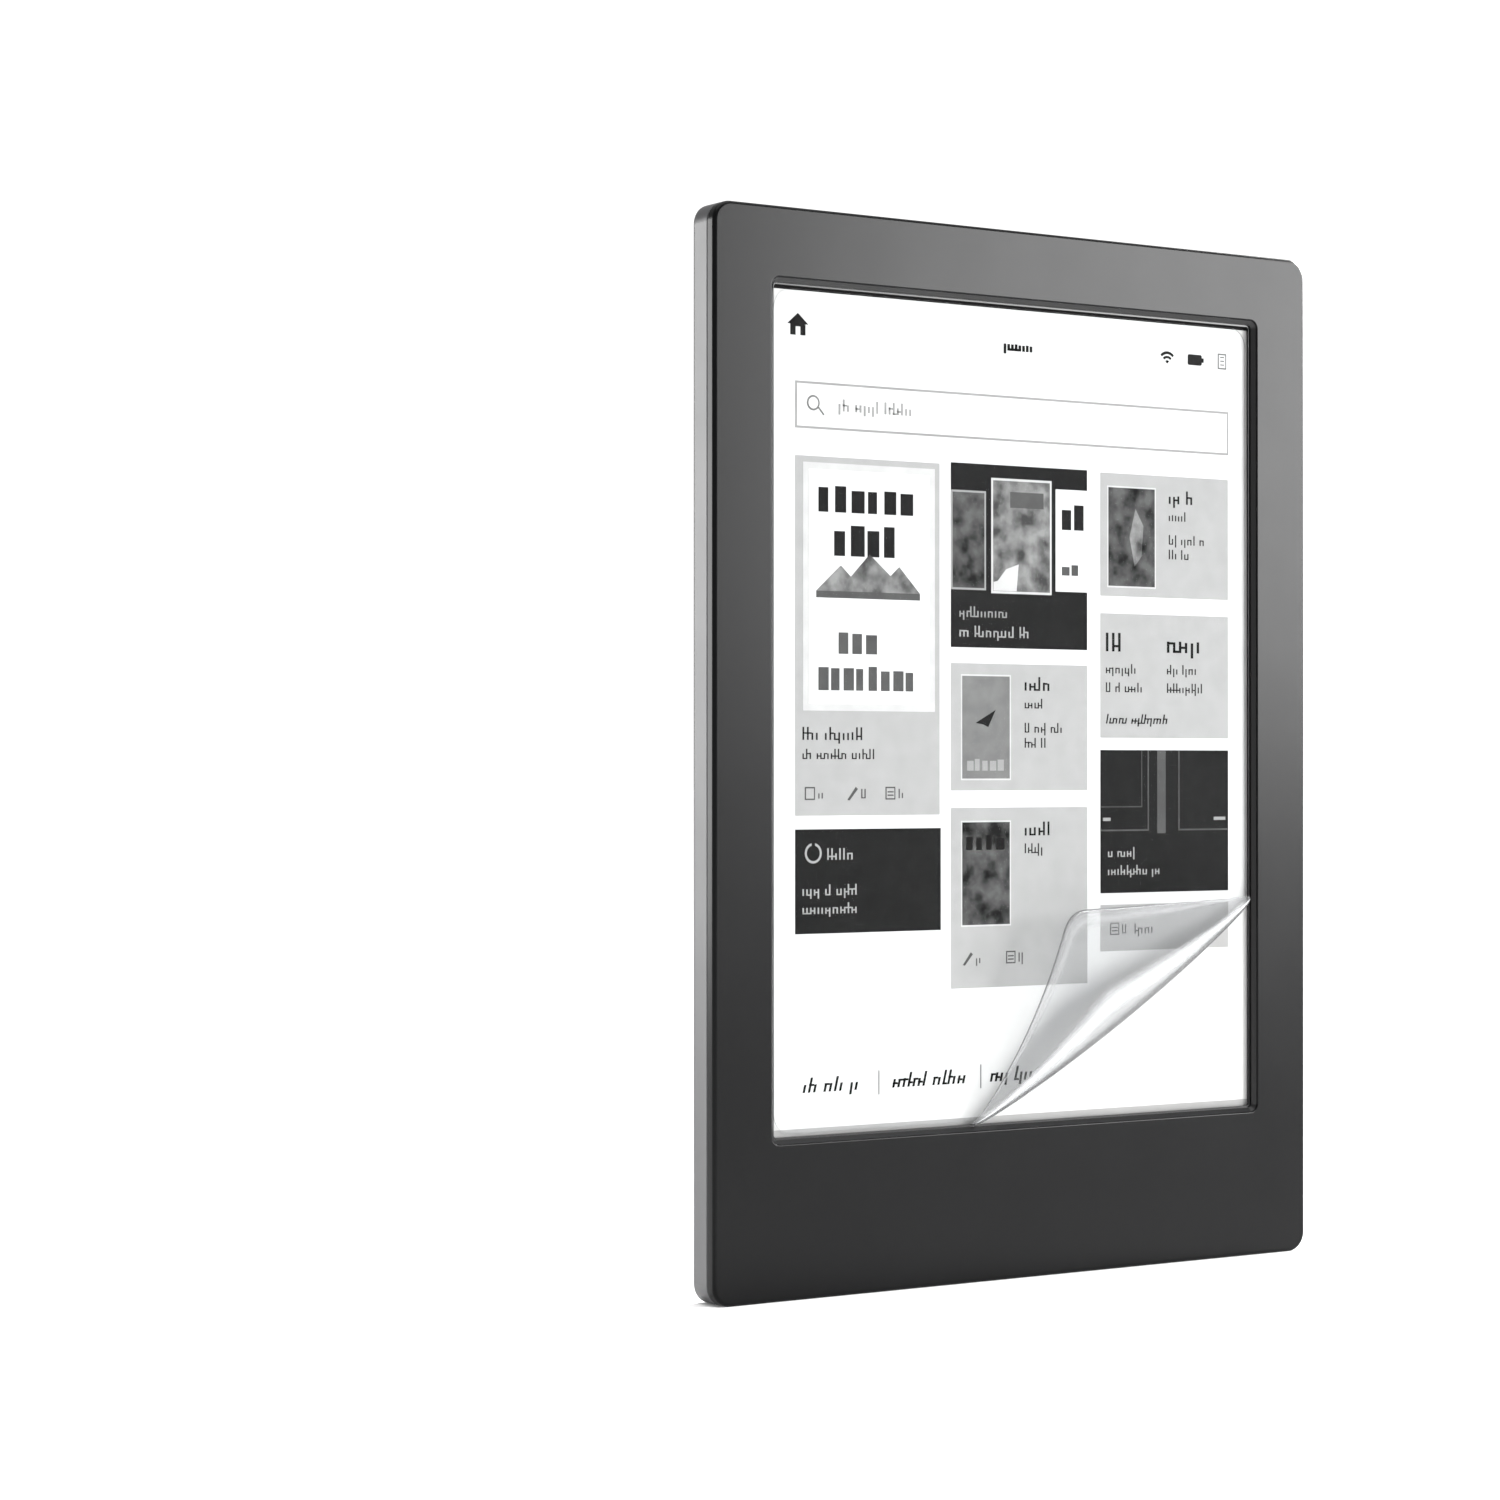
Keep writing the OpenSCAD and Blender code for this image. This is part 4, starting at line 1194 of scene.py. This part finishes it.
    def first_column(self) -> None:
        """A tall card with one large cover, and a dark tile below it."""
        self.panel((-41.3, 70.4, -15.1, 123.1), Tone.CARD, 1)
        self.panel((-39.9, 85.8, -16.0, 122.2), Tone.PALE, 2)
        self.panel((-38.9, 86.8, -17.0, 121.2), Tone.PAGE, 3)
        self.blocks((-37.2, 115.0, -19.4, 119.2), 6, Tone.DARK, 4)
        self.blocks((-34.4, 108.6, -22.4, 113.2), 4, Tone.DARK, 4)
        hills = [[-37.6, 103.4], [-33.2, 107.2], [-31.4, 105.6], [-28.0, 109.0], [-24.2, 105.9],
                 [-22.6, 107.3], [-18.8, 103.4]]
        self.shape(hills, Tone.DAY, 5)
        self.panel((-37.6, 102.4, -18.8, 103.4), Tone.MID, 5)
        self.blocks((-33.6, 94.2, -26.2, 97.6), 3, Tone.MID, 4)
        self.blocks((-37.2, 88.8, -19.2, 92.4), 8, Tone.MID, 4)
        self.words(-40.0, -28.6, 81.5, 1.9, Tone.DARK, 2)
        self.words(-40.0, -26.4, 78.7, 1.5, Tone.DARK, 2)
        for kind, x in enumerate((-38.7, -31.0, -24.2)):
            self.tag((x, 73.6), kind, Tone.CARD)
        self.panel((-41.3, 53.1, -14.9, 68.4), Tone.DARK, 1)
        self.ring((-38.1, 64.9), 1.5, 1.15, Tone.CARD, Tone.DARK, 2)
        self.panel((-38.4, 66.0, -37.8, 66.5), Tone.DARK, 4)
        self.words(-35.6, -30.0, 63.9, 1.7, Tone.CARD, 2)
        self.words(-40.0, -29.8, 58.7, 1.6, Tone.CARD, 2)
        self.words(-40.0, -29.8, 56.0, 1.6, Tone.CARD, 2)

    def second_column(self) -> None:
        """A dark tile with three covers, and two cards below it."""
        self.panel((-13.0, 95.6, 13.2, 123.4), Tone.DARK, 1)
        self.outlined((-13.0, 104.3, -6.4, 119.3), 0.3, Tone.LIGHT, Tone.NIGHT, 2)
        self.panel((7.0, 104.5, 13.2, 120.2), Tone.PAGE, 2)
        self.outlined((-5.4, 103.9, 6.2, 121.4), 0.35, Tone.PALE, Tone.DAY, 3)
        self.shape([[-5.0, 104.3], [-0.6, 104.3], [-0.2, 108.4], [-2.6, 107.6], [-4.2, 105.8], [-5.0, 105.6]],
                   Tone.PALE, 5)
        self.panel((-1.8, 117.0, 4.6, 119.4), Tone.MID, 5)
        self.blocks((8.2, 114.0, 13.0, 118.2), 2, Tone.DARK, 3)
        self.blocks((8.2, 107.0, 12.0, 108.8), 2, Tone.MID, 3)
        self.words(-11.4, -1.6, 100.2, 1.6, Tone.LIGHT, 2)
        self.words(-11.4, 2.2, 97.2, 1.7, Tone.CARD, 2)
        self.book((-13.0, 74.0, 13.2, 93.2), (-10.9, 75.8, -1.9, 91.3), Tone.GREY, True)
        self.shape([[-8.4, 84.2], [-4.6, 86.2], [-6.0, 83.6], [-7.0, 84.0]], Tone.DARK, 4)
        self.blocks((-10.0, 77.0, -2.8, 78.8), 5, Tone.LIGHT, 4)
        self.book((-13.0, 44.2, 13.2, 71.4), (-10.9, 53.7, -1.9, 69.2), Tone.NIGHT, False)
        self.blocks((-10.2, 65.0, -2.6, 67.4), 4, Tone.CARD, 3)
        for kind, x in ((1, -9.8), (2, -1.7)):
            self.tag((x, 48.6), kind, Tone.CARD)

    def book(self, card: Box, cover: Box,
             tone: Tone, more: bool) -> None:
        """A card with a cover at its left and rows of marks at its right.

        Args:
            card: Left, bottom, right and top of the card.
            cover: The same of the cover.
            tone: The cover's grey.
            more: Whether a second pair of rows follows the first.
        """
        self.panel(card, Tone.CARD, 1)
        left, bottom, right, top = cover
        self.panel((left - 0.25, bottom - 0.25, right + 0.25, top + 0.25), Tone.PALE, 2)
        self.panel(cover, tone, 3)
        start = right + 2.9
        self.words(start, start + 5.3, top - 2.1, 2.1, Tone.DARK, 2, 0.17)
        rows = ((4.2, 4.8), (7.6, 8.5), (4.8, 10.8))
        for length, drop in rows if more else rows[:1]:
            self.words(start, start + length, top - drop, 1.5, Tone.DARK, 2)

    def third_column(self) -> None:
        """A card with a dark cover, a card of figures, a dark tile and a card under the film's corner."""
        self.book((15.8, 104.1, 41.8, 123.2), (17.4, 105.7, 26.7, 121.0), Tone.NIGHT, True)
        self.shape([[21.6, 113.4], [22.8, 117.8], [24.4, 115.2], [24.0, 110.4], [22.6, 108.8]], Tone.DAY, 4)
        self.panel((15.8, 82.1, 41.8, 101.4), Tone.CARD, 1)
        for x, wide in ((16.9, 4.2), (29.2, 7.4)):
            self.words(x, x + wide, 95.5, 2.9, Tone.DARK, 2, 0.17)
            self.words(x, x + 6.6, 92.1, 1.5, Tone.DARK, 2)
            self.words(x, x + 7.8, 89.2, 1.5, Tone.DARK, 2)
        self.words(16.9, 29.8, 84.3, 1.5, Tone.DARK, 2, 0.17, 0.2)
        self.panel((15.8, 58.0, 41.8, 80.2), Tone.DARK, 1)
        for box in ((15.8, 67.6, 25.5, 67.85), (25.25, 67.6, 25.5, 80.2), (27.2, 67.2, 28.9, 80.2),
                    (31.5, 67.6, 31.75, 80.2), (31.5, 67.6, 41.8, 67.85), (24.0, 71.4, 24.15, 80.2),
                    (15.8, 71.3, 24.15, 71.45)):
            self.panel(box, Tone.MID, 2)
        self.panel((16.3, 69.2, 17.8, 69.7), Tone.LIGHT, 2)
        self.panel((38.8, 69.2, 41.2, 69.7), Tone.LIGHT, 2)
        self.words(17.3, 23.2, 63.6, 1.5, Tone.CARD, 2)
        self.words(17.3, 28.2, 60.8, 1.5, Tone.CARD, 2)
        self.panel((15.8, 49.0, 41.8, 56.2), Tone.CARD, 1)
        self.tag((18.6, 52.4), 2, Tone.CARD)
        self.words(22.6, 27.0, 51.6, 1.6, Tone.MID, 2)

    def footer(self) -> None:
        """The foot of the page: three short leaning words between two dividers."""
        for start, end in ((-40.0, -29.2), (-23.9, -9.9), (-5.7, 3.3)):
            self.words(start, end, 29.9, 2.2, Tone.DARK, 1, 0.19, 0.25)
        for x in (-26.3, -7.4):
            self.panel((x - 0.1, 29.0, x + 0.1, 32.6), Tone.GREY, 1)

    def build(self) -> list[bpy.types.Object]:
        """Makes the white sheet, and one piece of ink for each tone.

        Returns:
            The new pieces.
        """
        for part in (self.header, self.first_column, self.second_column, self.third_column, self.footer):
            part()
        low, high = self.layout.face
        sheet = Corner(high.x, (high.z - low.z) / 2, (high.z + low.z) / 2, 0.4 * MM, 0.0, 3)
        rings = np.array([standing(sheet.ring(0.0), high.y), standing(sheet.ring(0.0), low.y + self.sink)])
        paper = ElectronicPaper("page_paper", *Tone.PAGE.value)
        pieces = [make_piece("screen_face", rings.reshape(-1, 3), capped(rings), [paper.material()], "root",
                             ("touch_sensor",))]
        for tone, marks in self.marks.items():
            name = "page_" + tone.name.lower()
            ink = ElectronicPaper(name, *tone.value)
            pieces.append(make_piece(name + "_ink", np.concatenate(marks.points), marks.faces,
                                     [ink.material()], "root"))
        return pieces


@dataclass
class Film:
    """The clear protective film, with its lower right corner peeled up and rolled back over the page."""

    layout: Layout
    thick: float = 0.12 * MM
    corner: float = 3.0 * MM
    depth: float = 1.48 * MM
    start: Pair = (-9.8 * MM, 24.05 * MM)
    end: Pair = (45.2 * MM, 57.05 * MM)
    tip: Pair = (3.8 * MM, 55.85 * MM)
    bow: Pair = (-2.2 * MM, 34.65 * MM)
    tip_round: float = 3.0 * MM
    tight: float = 0.5 * MM
    swell: float = 1.6 * MM
    crest: float = 3.0 * MM
    roll: float = 150.0
    pull: float = 0.7
    settle: float = 0.06
    along: int = 96
    arc_rows: int = 14
    flap_rows: int = 40

    def free_edge(self, share: np.ndarray) -> np.ndarray:
        """The flap's free edge: a bowed side up to a rounded tip, then a straight side, evenly spaced.

        The bowed side is (1-t)^2 start + 2t(1-t) bow + t^2 tip; the tip is rounded the same way.

        Args:
            share: Places along the edge, from nought to one.

        Returns:
            Points as x and height.
        """
        start, bow, tip, end = (np.array(point) for point in (self.start, self.bow, self.tip, self.end))
        t = np.linspace(0.0, 1.0, 60)[:, None]
        side = (1 - t) ** 2 * start + 2 * t * (1 - t) * bow + t ** 2 * tip
        side = side[np.linalg.norm(side - tip, axis=1) > self.tip_round]
        after = tip + (end - tip) * self.tip_round / np.linalg.norm(end - tip)
        turn = (1 - t) ** 2 * side[-1] + 2 * t * (1 - t) * tip + t ** 2 * after
        line = np.concatenate([side, turn[1:], after + (end - after) * t[1:]])
        length = np.concatenate([[0.0], np.cumsum(np.linalg.norm(np.diff(line, axis=0), axis=1))])
        length /= length[-1]
        return np.stack([np.interp(share, length, line[:, k]) for k in (0, 1)], axis=1)

    def flap(self) -> np.ndarray:
        """The rolled corner on a grid: rows from the fold to the free edge, columns along the fold.

        The roll is an arc of radius r(p) = tight + swell * sqrt(sin(pi p)); from its end a smooth
        curve runs to the free edge, which stands crest * sin(pi p)^1.5 above the roll's top. It is a
        Hermite curve that leaves the roll at pull times its reach, and climbs at settle times its
        reach where it ends.

        Returns:
            Points shaped (rows, columns, 3), as x, height above the table, and distance off the page.
        """
        share = np.linspace(0.0, 1.0, self.along + 1)
        start, end = np.array(self.start), np.array(self.end)
        way = (end - start) / np.linalg.norm(end - start)
        inward = np.array([-way[1], way[0]])
        fold = start + share[:, None] * (end - start)
        arch = np.clip(np.sin(np.pi * share), 0.0, None)
        radius = self.tight + self.swell * np.sqrt(arch)
        turn = np.radians(np.linspace(0.0, self.roll, self.arc_rows + 1))[:, None]
        across = -radius * np.sin(turn)
        lift = radius * (1 - np.cos(turn))
        arc = np.concatenate([fold + across[..., None] * inward, lift[..., None]], axis=2)
        edge = self.free_edge(share)
        top = 2 * radius + self.crest * arch ** 1.5
        far = np.concatenate([edge, top[:, None]], axis=1)
        reach = np.linalg.norm(edge - fold, axis=1)[:, None]
        leave = np.concatenate([np.cos(np.pi - turn[-1]) * inward * np.ones((len(share), 1)),
                                np.sin(np.pi - turn[-1]) * np.ones((len(share), 1))], axis=1)
        leave = leave * reach * self.pull
        flat = np.concatenate([edge - fold, self.settle * reach], axis=1)
        t = np.linspace(0.0, 1.0, self.flap_rows + 1)[1:, None, None]
        curve = ((2 * t ** 3 - 3 * t ** 2 + 1) * arc[-1] + (t ** 3 - 2 * t ** 2 + t) * leave
                 + (3 * t ** 2 - 2 * t ** 3) * far + (t ** 3 - t ** 2) * flat)
        return np.concatenate([arc, curve])

    def build(self, clear: ClearFilm, rim: FilmEdge) -> bpy.types.Object:
        """Makes the film: one flat face up to the fold, and the rolled corner beyond it.

        Args:
            clear: The film's finish.
            rim: The finish of its cut edge.

        Returns:
            The new piece.
        """
        low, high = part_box("screen_film")
        plane = self.layout.front + self.depth
        outline = Corner(high.x, (high.z - low.z) / 2, (high.z + low.z) / 2, self.corner).ring(0.0)
        start, end = np.array(self.start), np.array(self.end)
        way = (end - start) / np.linalg.norm(end - start)
        flat_side = (outline - start) @ np.array([-way[1], way[0]]) > 0.001 * MM
        begin = int(np.flatnonzero(flat_side & ~np.roll(flat_side, 1))[0])
        kept = np.roll(outline, -begin, axis=0)[np.roll(flat_side, -begin)]
        grid = self.flap()
        rows, columns = grid.shape[:2]
        points = np.stack([grid[..., 0], plane - grid[..., 2], grid[..., 1]], axis=2).reshape(-1, 3)
        index = np.arange(rows * columns).reshape(rows, columns)
        quads = np.stack([index[:-1, :-1], index[1:, :-1], index[1:, 1:], index[:-1, 1:]], axis=-1)
        flat_face = list(range(columns)) + list(range(len(points), len(points) + len(kept)))
        points = np.concatenate([points, standing(kept, plane)])
        film = make_piece("clear_film", points, quads.reshape(-1, 4).tolist() + [flat_face],
                          [clear.material(), rim.material()], "film", ("screen_film",),
                          sharp=80.0, closed=False)
        roll = np.zeros(len(points))
        turned = np.arange(rows) / self.arc_rows
        beyond = 1.0 + (np.arange(rows) - self.arc_rows) / self.flap_rows
        roll[:rows * columns] = np.where(turned < 1.0, turned, beyond).repeat(columns)
        film.data.attributes.new("roll", "FLOAT", "POINT").data.foreach_set("value", roll)
        shell = film.modifiers.new("thickness", "SOLIDIFY")
        shell.thickness = self.thick
        shell.offset = 0.0
        shell.material_offset_rim = 1
        return film


@dataclass
class Inside:
    """The carried-over pieces: each takes the finish of its material slot."""

    finishes: dict[str, object]

    def dress(self, nodes: dict[str, bpy.types.Object], done: set[str]) -> int:
        """Gives each remaining node its finish.

        Args:
            nodes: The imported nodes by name.
            done: Nodes that a new piece stands for.

        Returns:
            How many nodes were dressed.
        """
        count = 0
        for name, node in sorted(nodes.items()):
            if name in done:
                continue
            slot = node.material_slots[0].material.name
            made = self.finishes[slot].material()
            for place in node.material_slots:
                place.material = made
            LOG.info("%s: %s", name, made.name)
            count += 1
        return count


@dataclass
class Softbox:
    """A rectangular studio light that faces a point and isn't seen by the camera."""

    name: str
    place: Triple
    size: Pair
    power: float
    target: Triple = (0.0, 0.0, 0.09)
    spread: float = 180.0

    def build(self) -> bpy.types.Object:
        """Makes the light.

        Returns:
            The new light.
        """
        light = bpy.data.lights.new(self.name, "AREA")
        light.shape = "RECTANGLE"
        light.size, light.size_y = self.size
        light.energy = self.power
        light.spread = math.radians(self.spread)
        lamp = placed(self.name, light)
        lamp.location = self.place
        way = Vector(self.target) - Vector(self.place)
        lamp.rotation_euler = way.to_track_quat("-Z", "Y").to_euler()
        lamp.visible_camera = False
        return lamp


@dataclass
class Studio:
    """The floor, the lights and the camera."""

    lens: float = 84.67
    camera_place: Triple = (-0.3302, -0.4287, 0.0770)
    camera_tilt: float = 90.335
    camera_turn: float = -33.403
    floor_half: float = 12.0
    sky_strength: float = 2.7
    sky_spread: float = 70.0
    sky_tilt: float = 8.0
    room: Pair = (0.5, 0.06)
    room_turn: Pair = (0.8, 0.96)
    room_way: Triple = (0.6, -0.8, 0.0)
    backdrop: Pair = (0.0, 1.15)
    backdrop_turn: Pair = (0.86, 0.95)
    backdrop_way: Triple = (0.549, 0.836, 0.0)

    def camera(self) -> bpy.types.Object:
        """Makes the camera and hands it to the scene.

        Returns:
            The camera.
        """
        data = bpy.data.cameras.new("camera")
        data.lens = self.lens
        data.sensor_width = 36.0
        data.clip_start = 0.01
        camera = placed("camera", data)
        camera.location = self.camera_place
        camera.rotation_euler = (math.radians(self.camera_tilt), 0.0, math.radians(self.camera_turn))
        bpy.context.scene.camera = camera
        return camera

    def walls(self) -> None:
        """The room: pale all round, dim in front of the device, and white where the camera looks past it."""
        world = bpy.data.worlds.new("room")
        world.use_nodes = True
        tree = world.node_tree
        way = tree.nodes.new("ShaderNodeTexCoord")
        lighter = tree.nodes.new("ShaderNodeMath")
        lighter.operation = "MAXIMUM"
        sides = ((self.room_way, self.room_turn, self.room),
                 (self.backdrop_way, self.backdrop_turn, self.backdrop))
        for place, (axis, turns, levels) in enumerate(sides):
            along = tree.nodes.new("ShaderNodeVectorMath")
            along.operation = "DOT_PRODUCT"
            along.inputs[1].default_value = axis
            turn = tree.nodes.new("ShaderNodeMapRange")
            turn.interpolation_type = "SMOOTHSTEP"
            turn.inputs["From Min"].default_value, turn.inputs["From Max"].default_value = turns
            turn.inputs["To Min"].default_value, turn.inputs["To Max"].default_value = levels
            tree.links.new(way.outputs["Generated"], along.inputs[0])
            tree.links.new(along.outputs["Value"], turn.inputs["Value"])
            tree.links.new(turn.outputs["Result"], lighter.inputs[place])
        back = tree.nodes["Background"]
        back.inputs["Color"].default_value = (1.0, 1.0, 1.0, 1.0)
        tree.links.new(lighter.outputs["Value"], back.inputs["Strength"])
        bpy.context.scene.world = world

    def skylight(self) -> None:
        """A very soft light from overhead, which lights the floor evenly and hardly touches upright faces."""
        light = bpy.data.lights.new("skylight", "SUN")
        light.energy = self.sky_strength
        light.angle = math.radians(self.sky_spread)
        lamp = placed("skylight", light)
        lamp.rotation_euler = (math.radians(self.sky_tilt), 0.0, 0.0)
        lamp.visible_camera = False

    def floor(self, finish: StudioFloor) -> bpy.types.Object:
        """Lays the floor card under the device.

        Args:
            finish: The card's finish.

        Returns:
            The card.
        """
        half = self.floor_half
        corners = [(-half, -half, 0.0), (half, -half, 0.0), (half, half, 0.0), (-half, half, 0.0)]
        mesh = bpy.data.meshes.new("floor_card")
        mesh.from_pydata(corners, [], [(0, 1, 2, 3)])
        mesh.materials.append(finish.material())
        card = placed("floor_card", mesh)
        return card

    def build(self) -> None:
        """Sets up the whole studio."""
        self.camera()
        self.walls()
        self.floor(StudioFloor("floor_card"))
        self.skylight()
        for box in (Softbox("key_light", (0.968, -0.903, 0.38), (0.70, 0.60), 38.0),
                    Softbox("rim_light", (-0.62, 0.72, 0.14), (0.3, 0.5), 7.2),
                    Softbox("back_light", (0.5, 0.12, 0.36), (0.25, 0.25), 1.3, (0.0, 0.0, 0.12), 45.0)):
            box.build()
        bpy.context.scene.view_settings.view_transform = "Standard"


def inside_finishes() -> dict[str, object]:
    """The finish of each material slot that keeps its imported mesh.

    Returns:
        Slot name to finish.
    """
    return {
        "clear_acrylic": ClearBlock("clear_acrylic_finish", (0.9, 0.95, 0.97)),
        "display_glass": ElectronicPaper("display_glass_finish", 0.7, 0.02, 0.0),
        "black_foam": Foam("black_foam_finish", (0.04, 0.04, 0.045)),
        "chip_black": Plastic("chip_black_finish", (0.035, 0.035, 0.04), 0.5, 0.35, 0.08 * MM),
        "amber_flex": Ribbon("amber_flex_finish", (0.7, 0.38, 0.1)),
        "white_flex": Ribbon("white_flex_finish", (0.85, 0.85, 0.82), 0.9),
        "lamp_yellow": ClearBlock("lamp_yellow_finish", (0.93, 0.8, 0.3)),
        "chassis_metal": Metal("chassis_metal_finish", (0.62, 0.63, 0.65), 0.38, Metalwork.BRUSHED),
        "screw_steel": Metal("screw_steel_finish", (0.55, 0.55, 0.57), 0.28),
        "green_board": CircuitBoard("green_board_finish", (0.04, 0.24, 0.12)),
        "plated_steel": Metal("plated_steel_finish", (0.72, 0.73, 0.74), 0.26),
        "ceramic_chip": Plastic("ceramic_chip_finish", (0.75, 0.66, 0.5), 0.45, 0.4, 0.1 * MM),
        "ivory_plastic": Plastic("ivory_plastic_finish", (0.88, 0.86, 0.8), 0.42, 0.4),
        "lead_sleeve": Plastic("lead_sleeve_finish", (0.6, 0.07, 0.06), 0.35, 0.5, 0.2 * MM),
        "cell_foil": Metal("cell_foil_finish", (0.78, 0.79, 0.81), 0.3, Metalwork.FOIL),
        "black_plastic": Plastic("black_plastic_finish", (0.05, 0.05, 0.055), 0.4, 0.4),
        "gold_contact": Metal("gold_contact_finish", (0.85, 0.68, 0.3), 0.22),
    }


def main() -> None:
    """Builds the pieces in order, dresses the rest, and lights the scene."""
    logging.basicConfig(level=logging.INFO, format="%(message)s")
    layout = Layout()
    Studio().build()
    Bezel(layout).build(Plastic("bezel_plastic_finish", (0.002, 0.0021, 0.0023), 0.235, 0.1),
                        Plastic("window_border_finish", (0.005, 0.005, 0.0053), 0.3, 0.28))
    openings = [
        Opening("port_shell", 3.85 * MM, 1.375 * MM, 0.6 * MM, False, 0.2 * MM, 0.3 * MM),
        Opening("reset_plunger", 0.549 * MM, 0.55 * MM, 0.548 * MM, False, 0.0, 0.12 * MM),
        Opening("power_button", 4.5 * MM, 0.9 * MM, 0.5 * MM, True, 0.08 * MM, 0.16 * MM),
        Opening("light_pipe", 0.799 * MM, 0.8 * MM, 0.798 * MM, True, 0.02 * MM, 0.08 * MM),
    ]
    Cover(layout).build(Plastic("cover_plastic_finish", (0.034, 0.034, 0.036), 0.38, 0.45), openings)
    Button().build(Plastic("button_plastic_finish", (0.03, 0.03, 0.033), 0.34, 0.5))
    Page(layout).build()
    film = Film(layout).build(ClearFilm("clear_film_finish"), FilmEdge("film_edge_finish"))
    done = {"front_bezel", "rear_cover", "power_button", "touch_sensor", "screen_film"}
    dressed = Inside(inside_finishes()).dress(frame["nodes"], done)
    LOG.info("carried over: %d pieces", dressed)


if __name__ == "__main__":
    main()
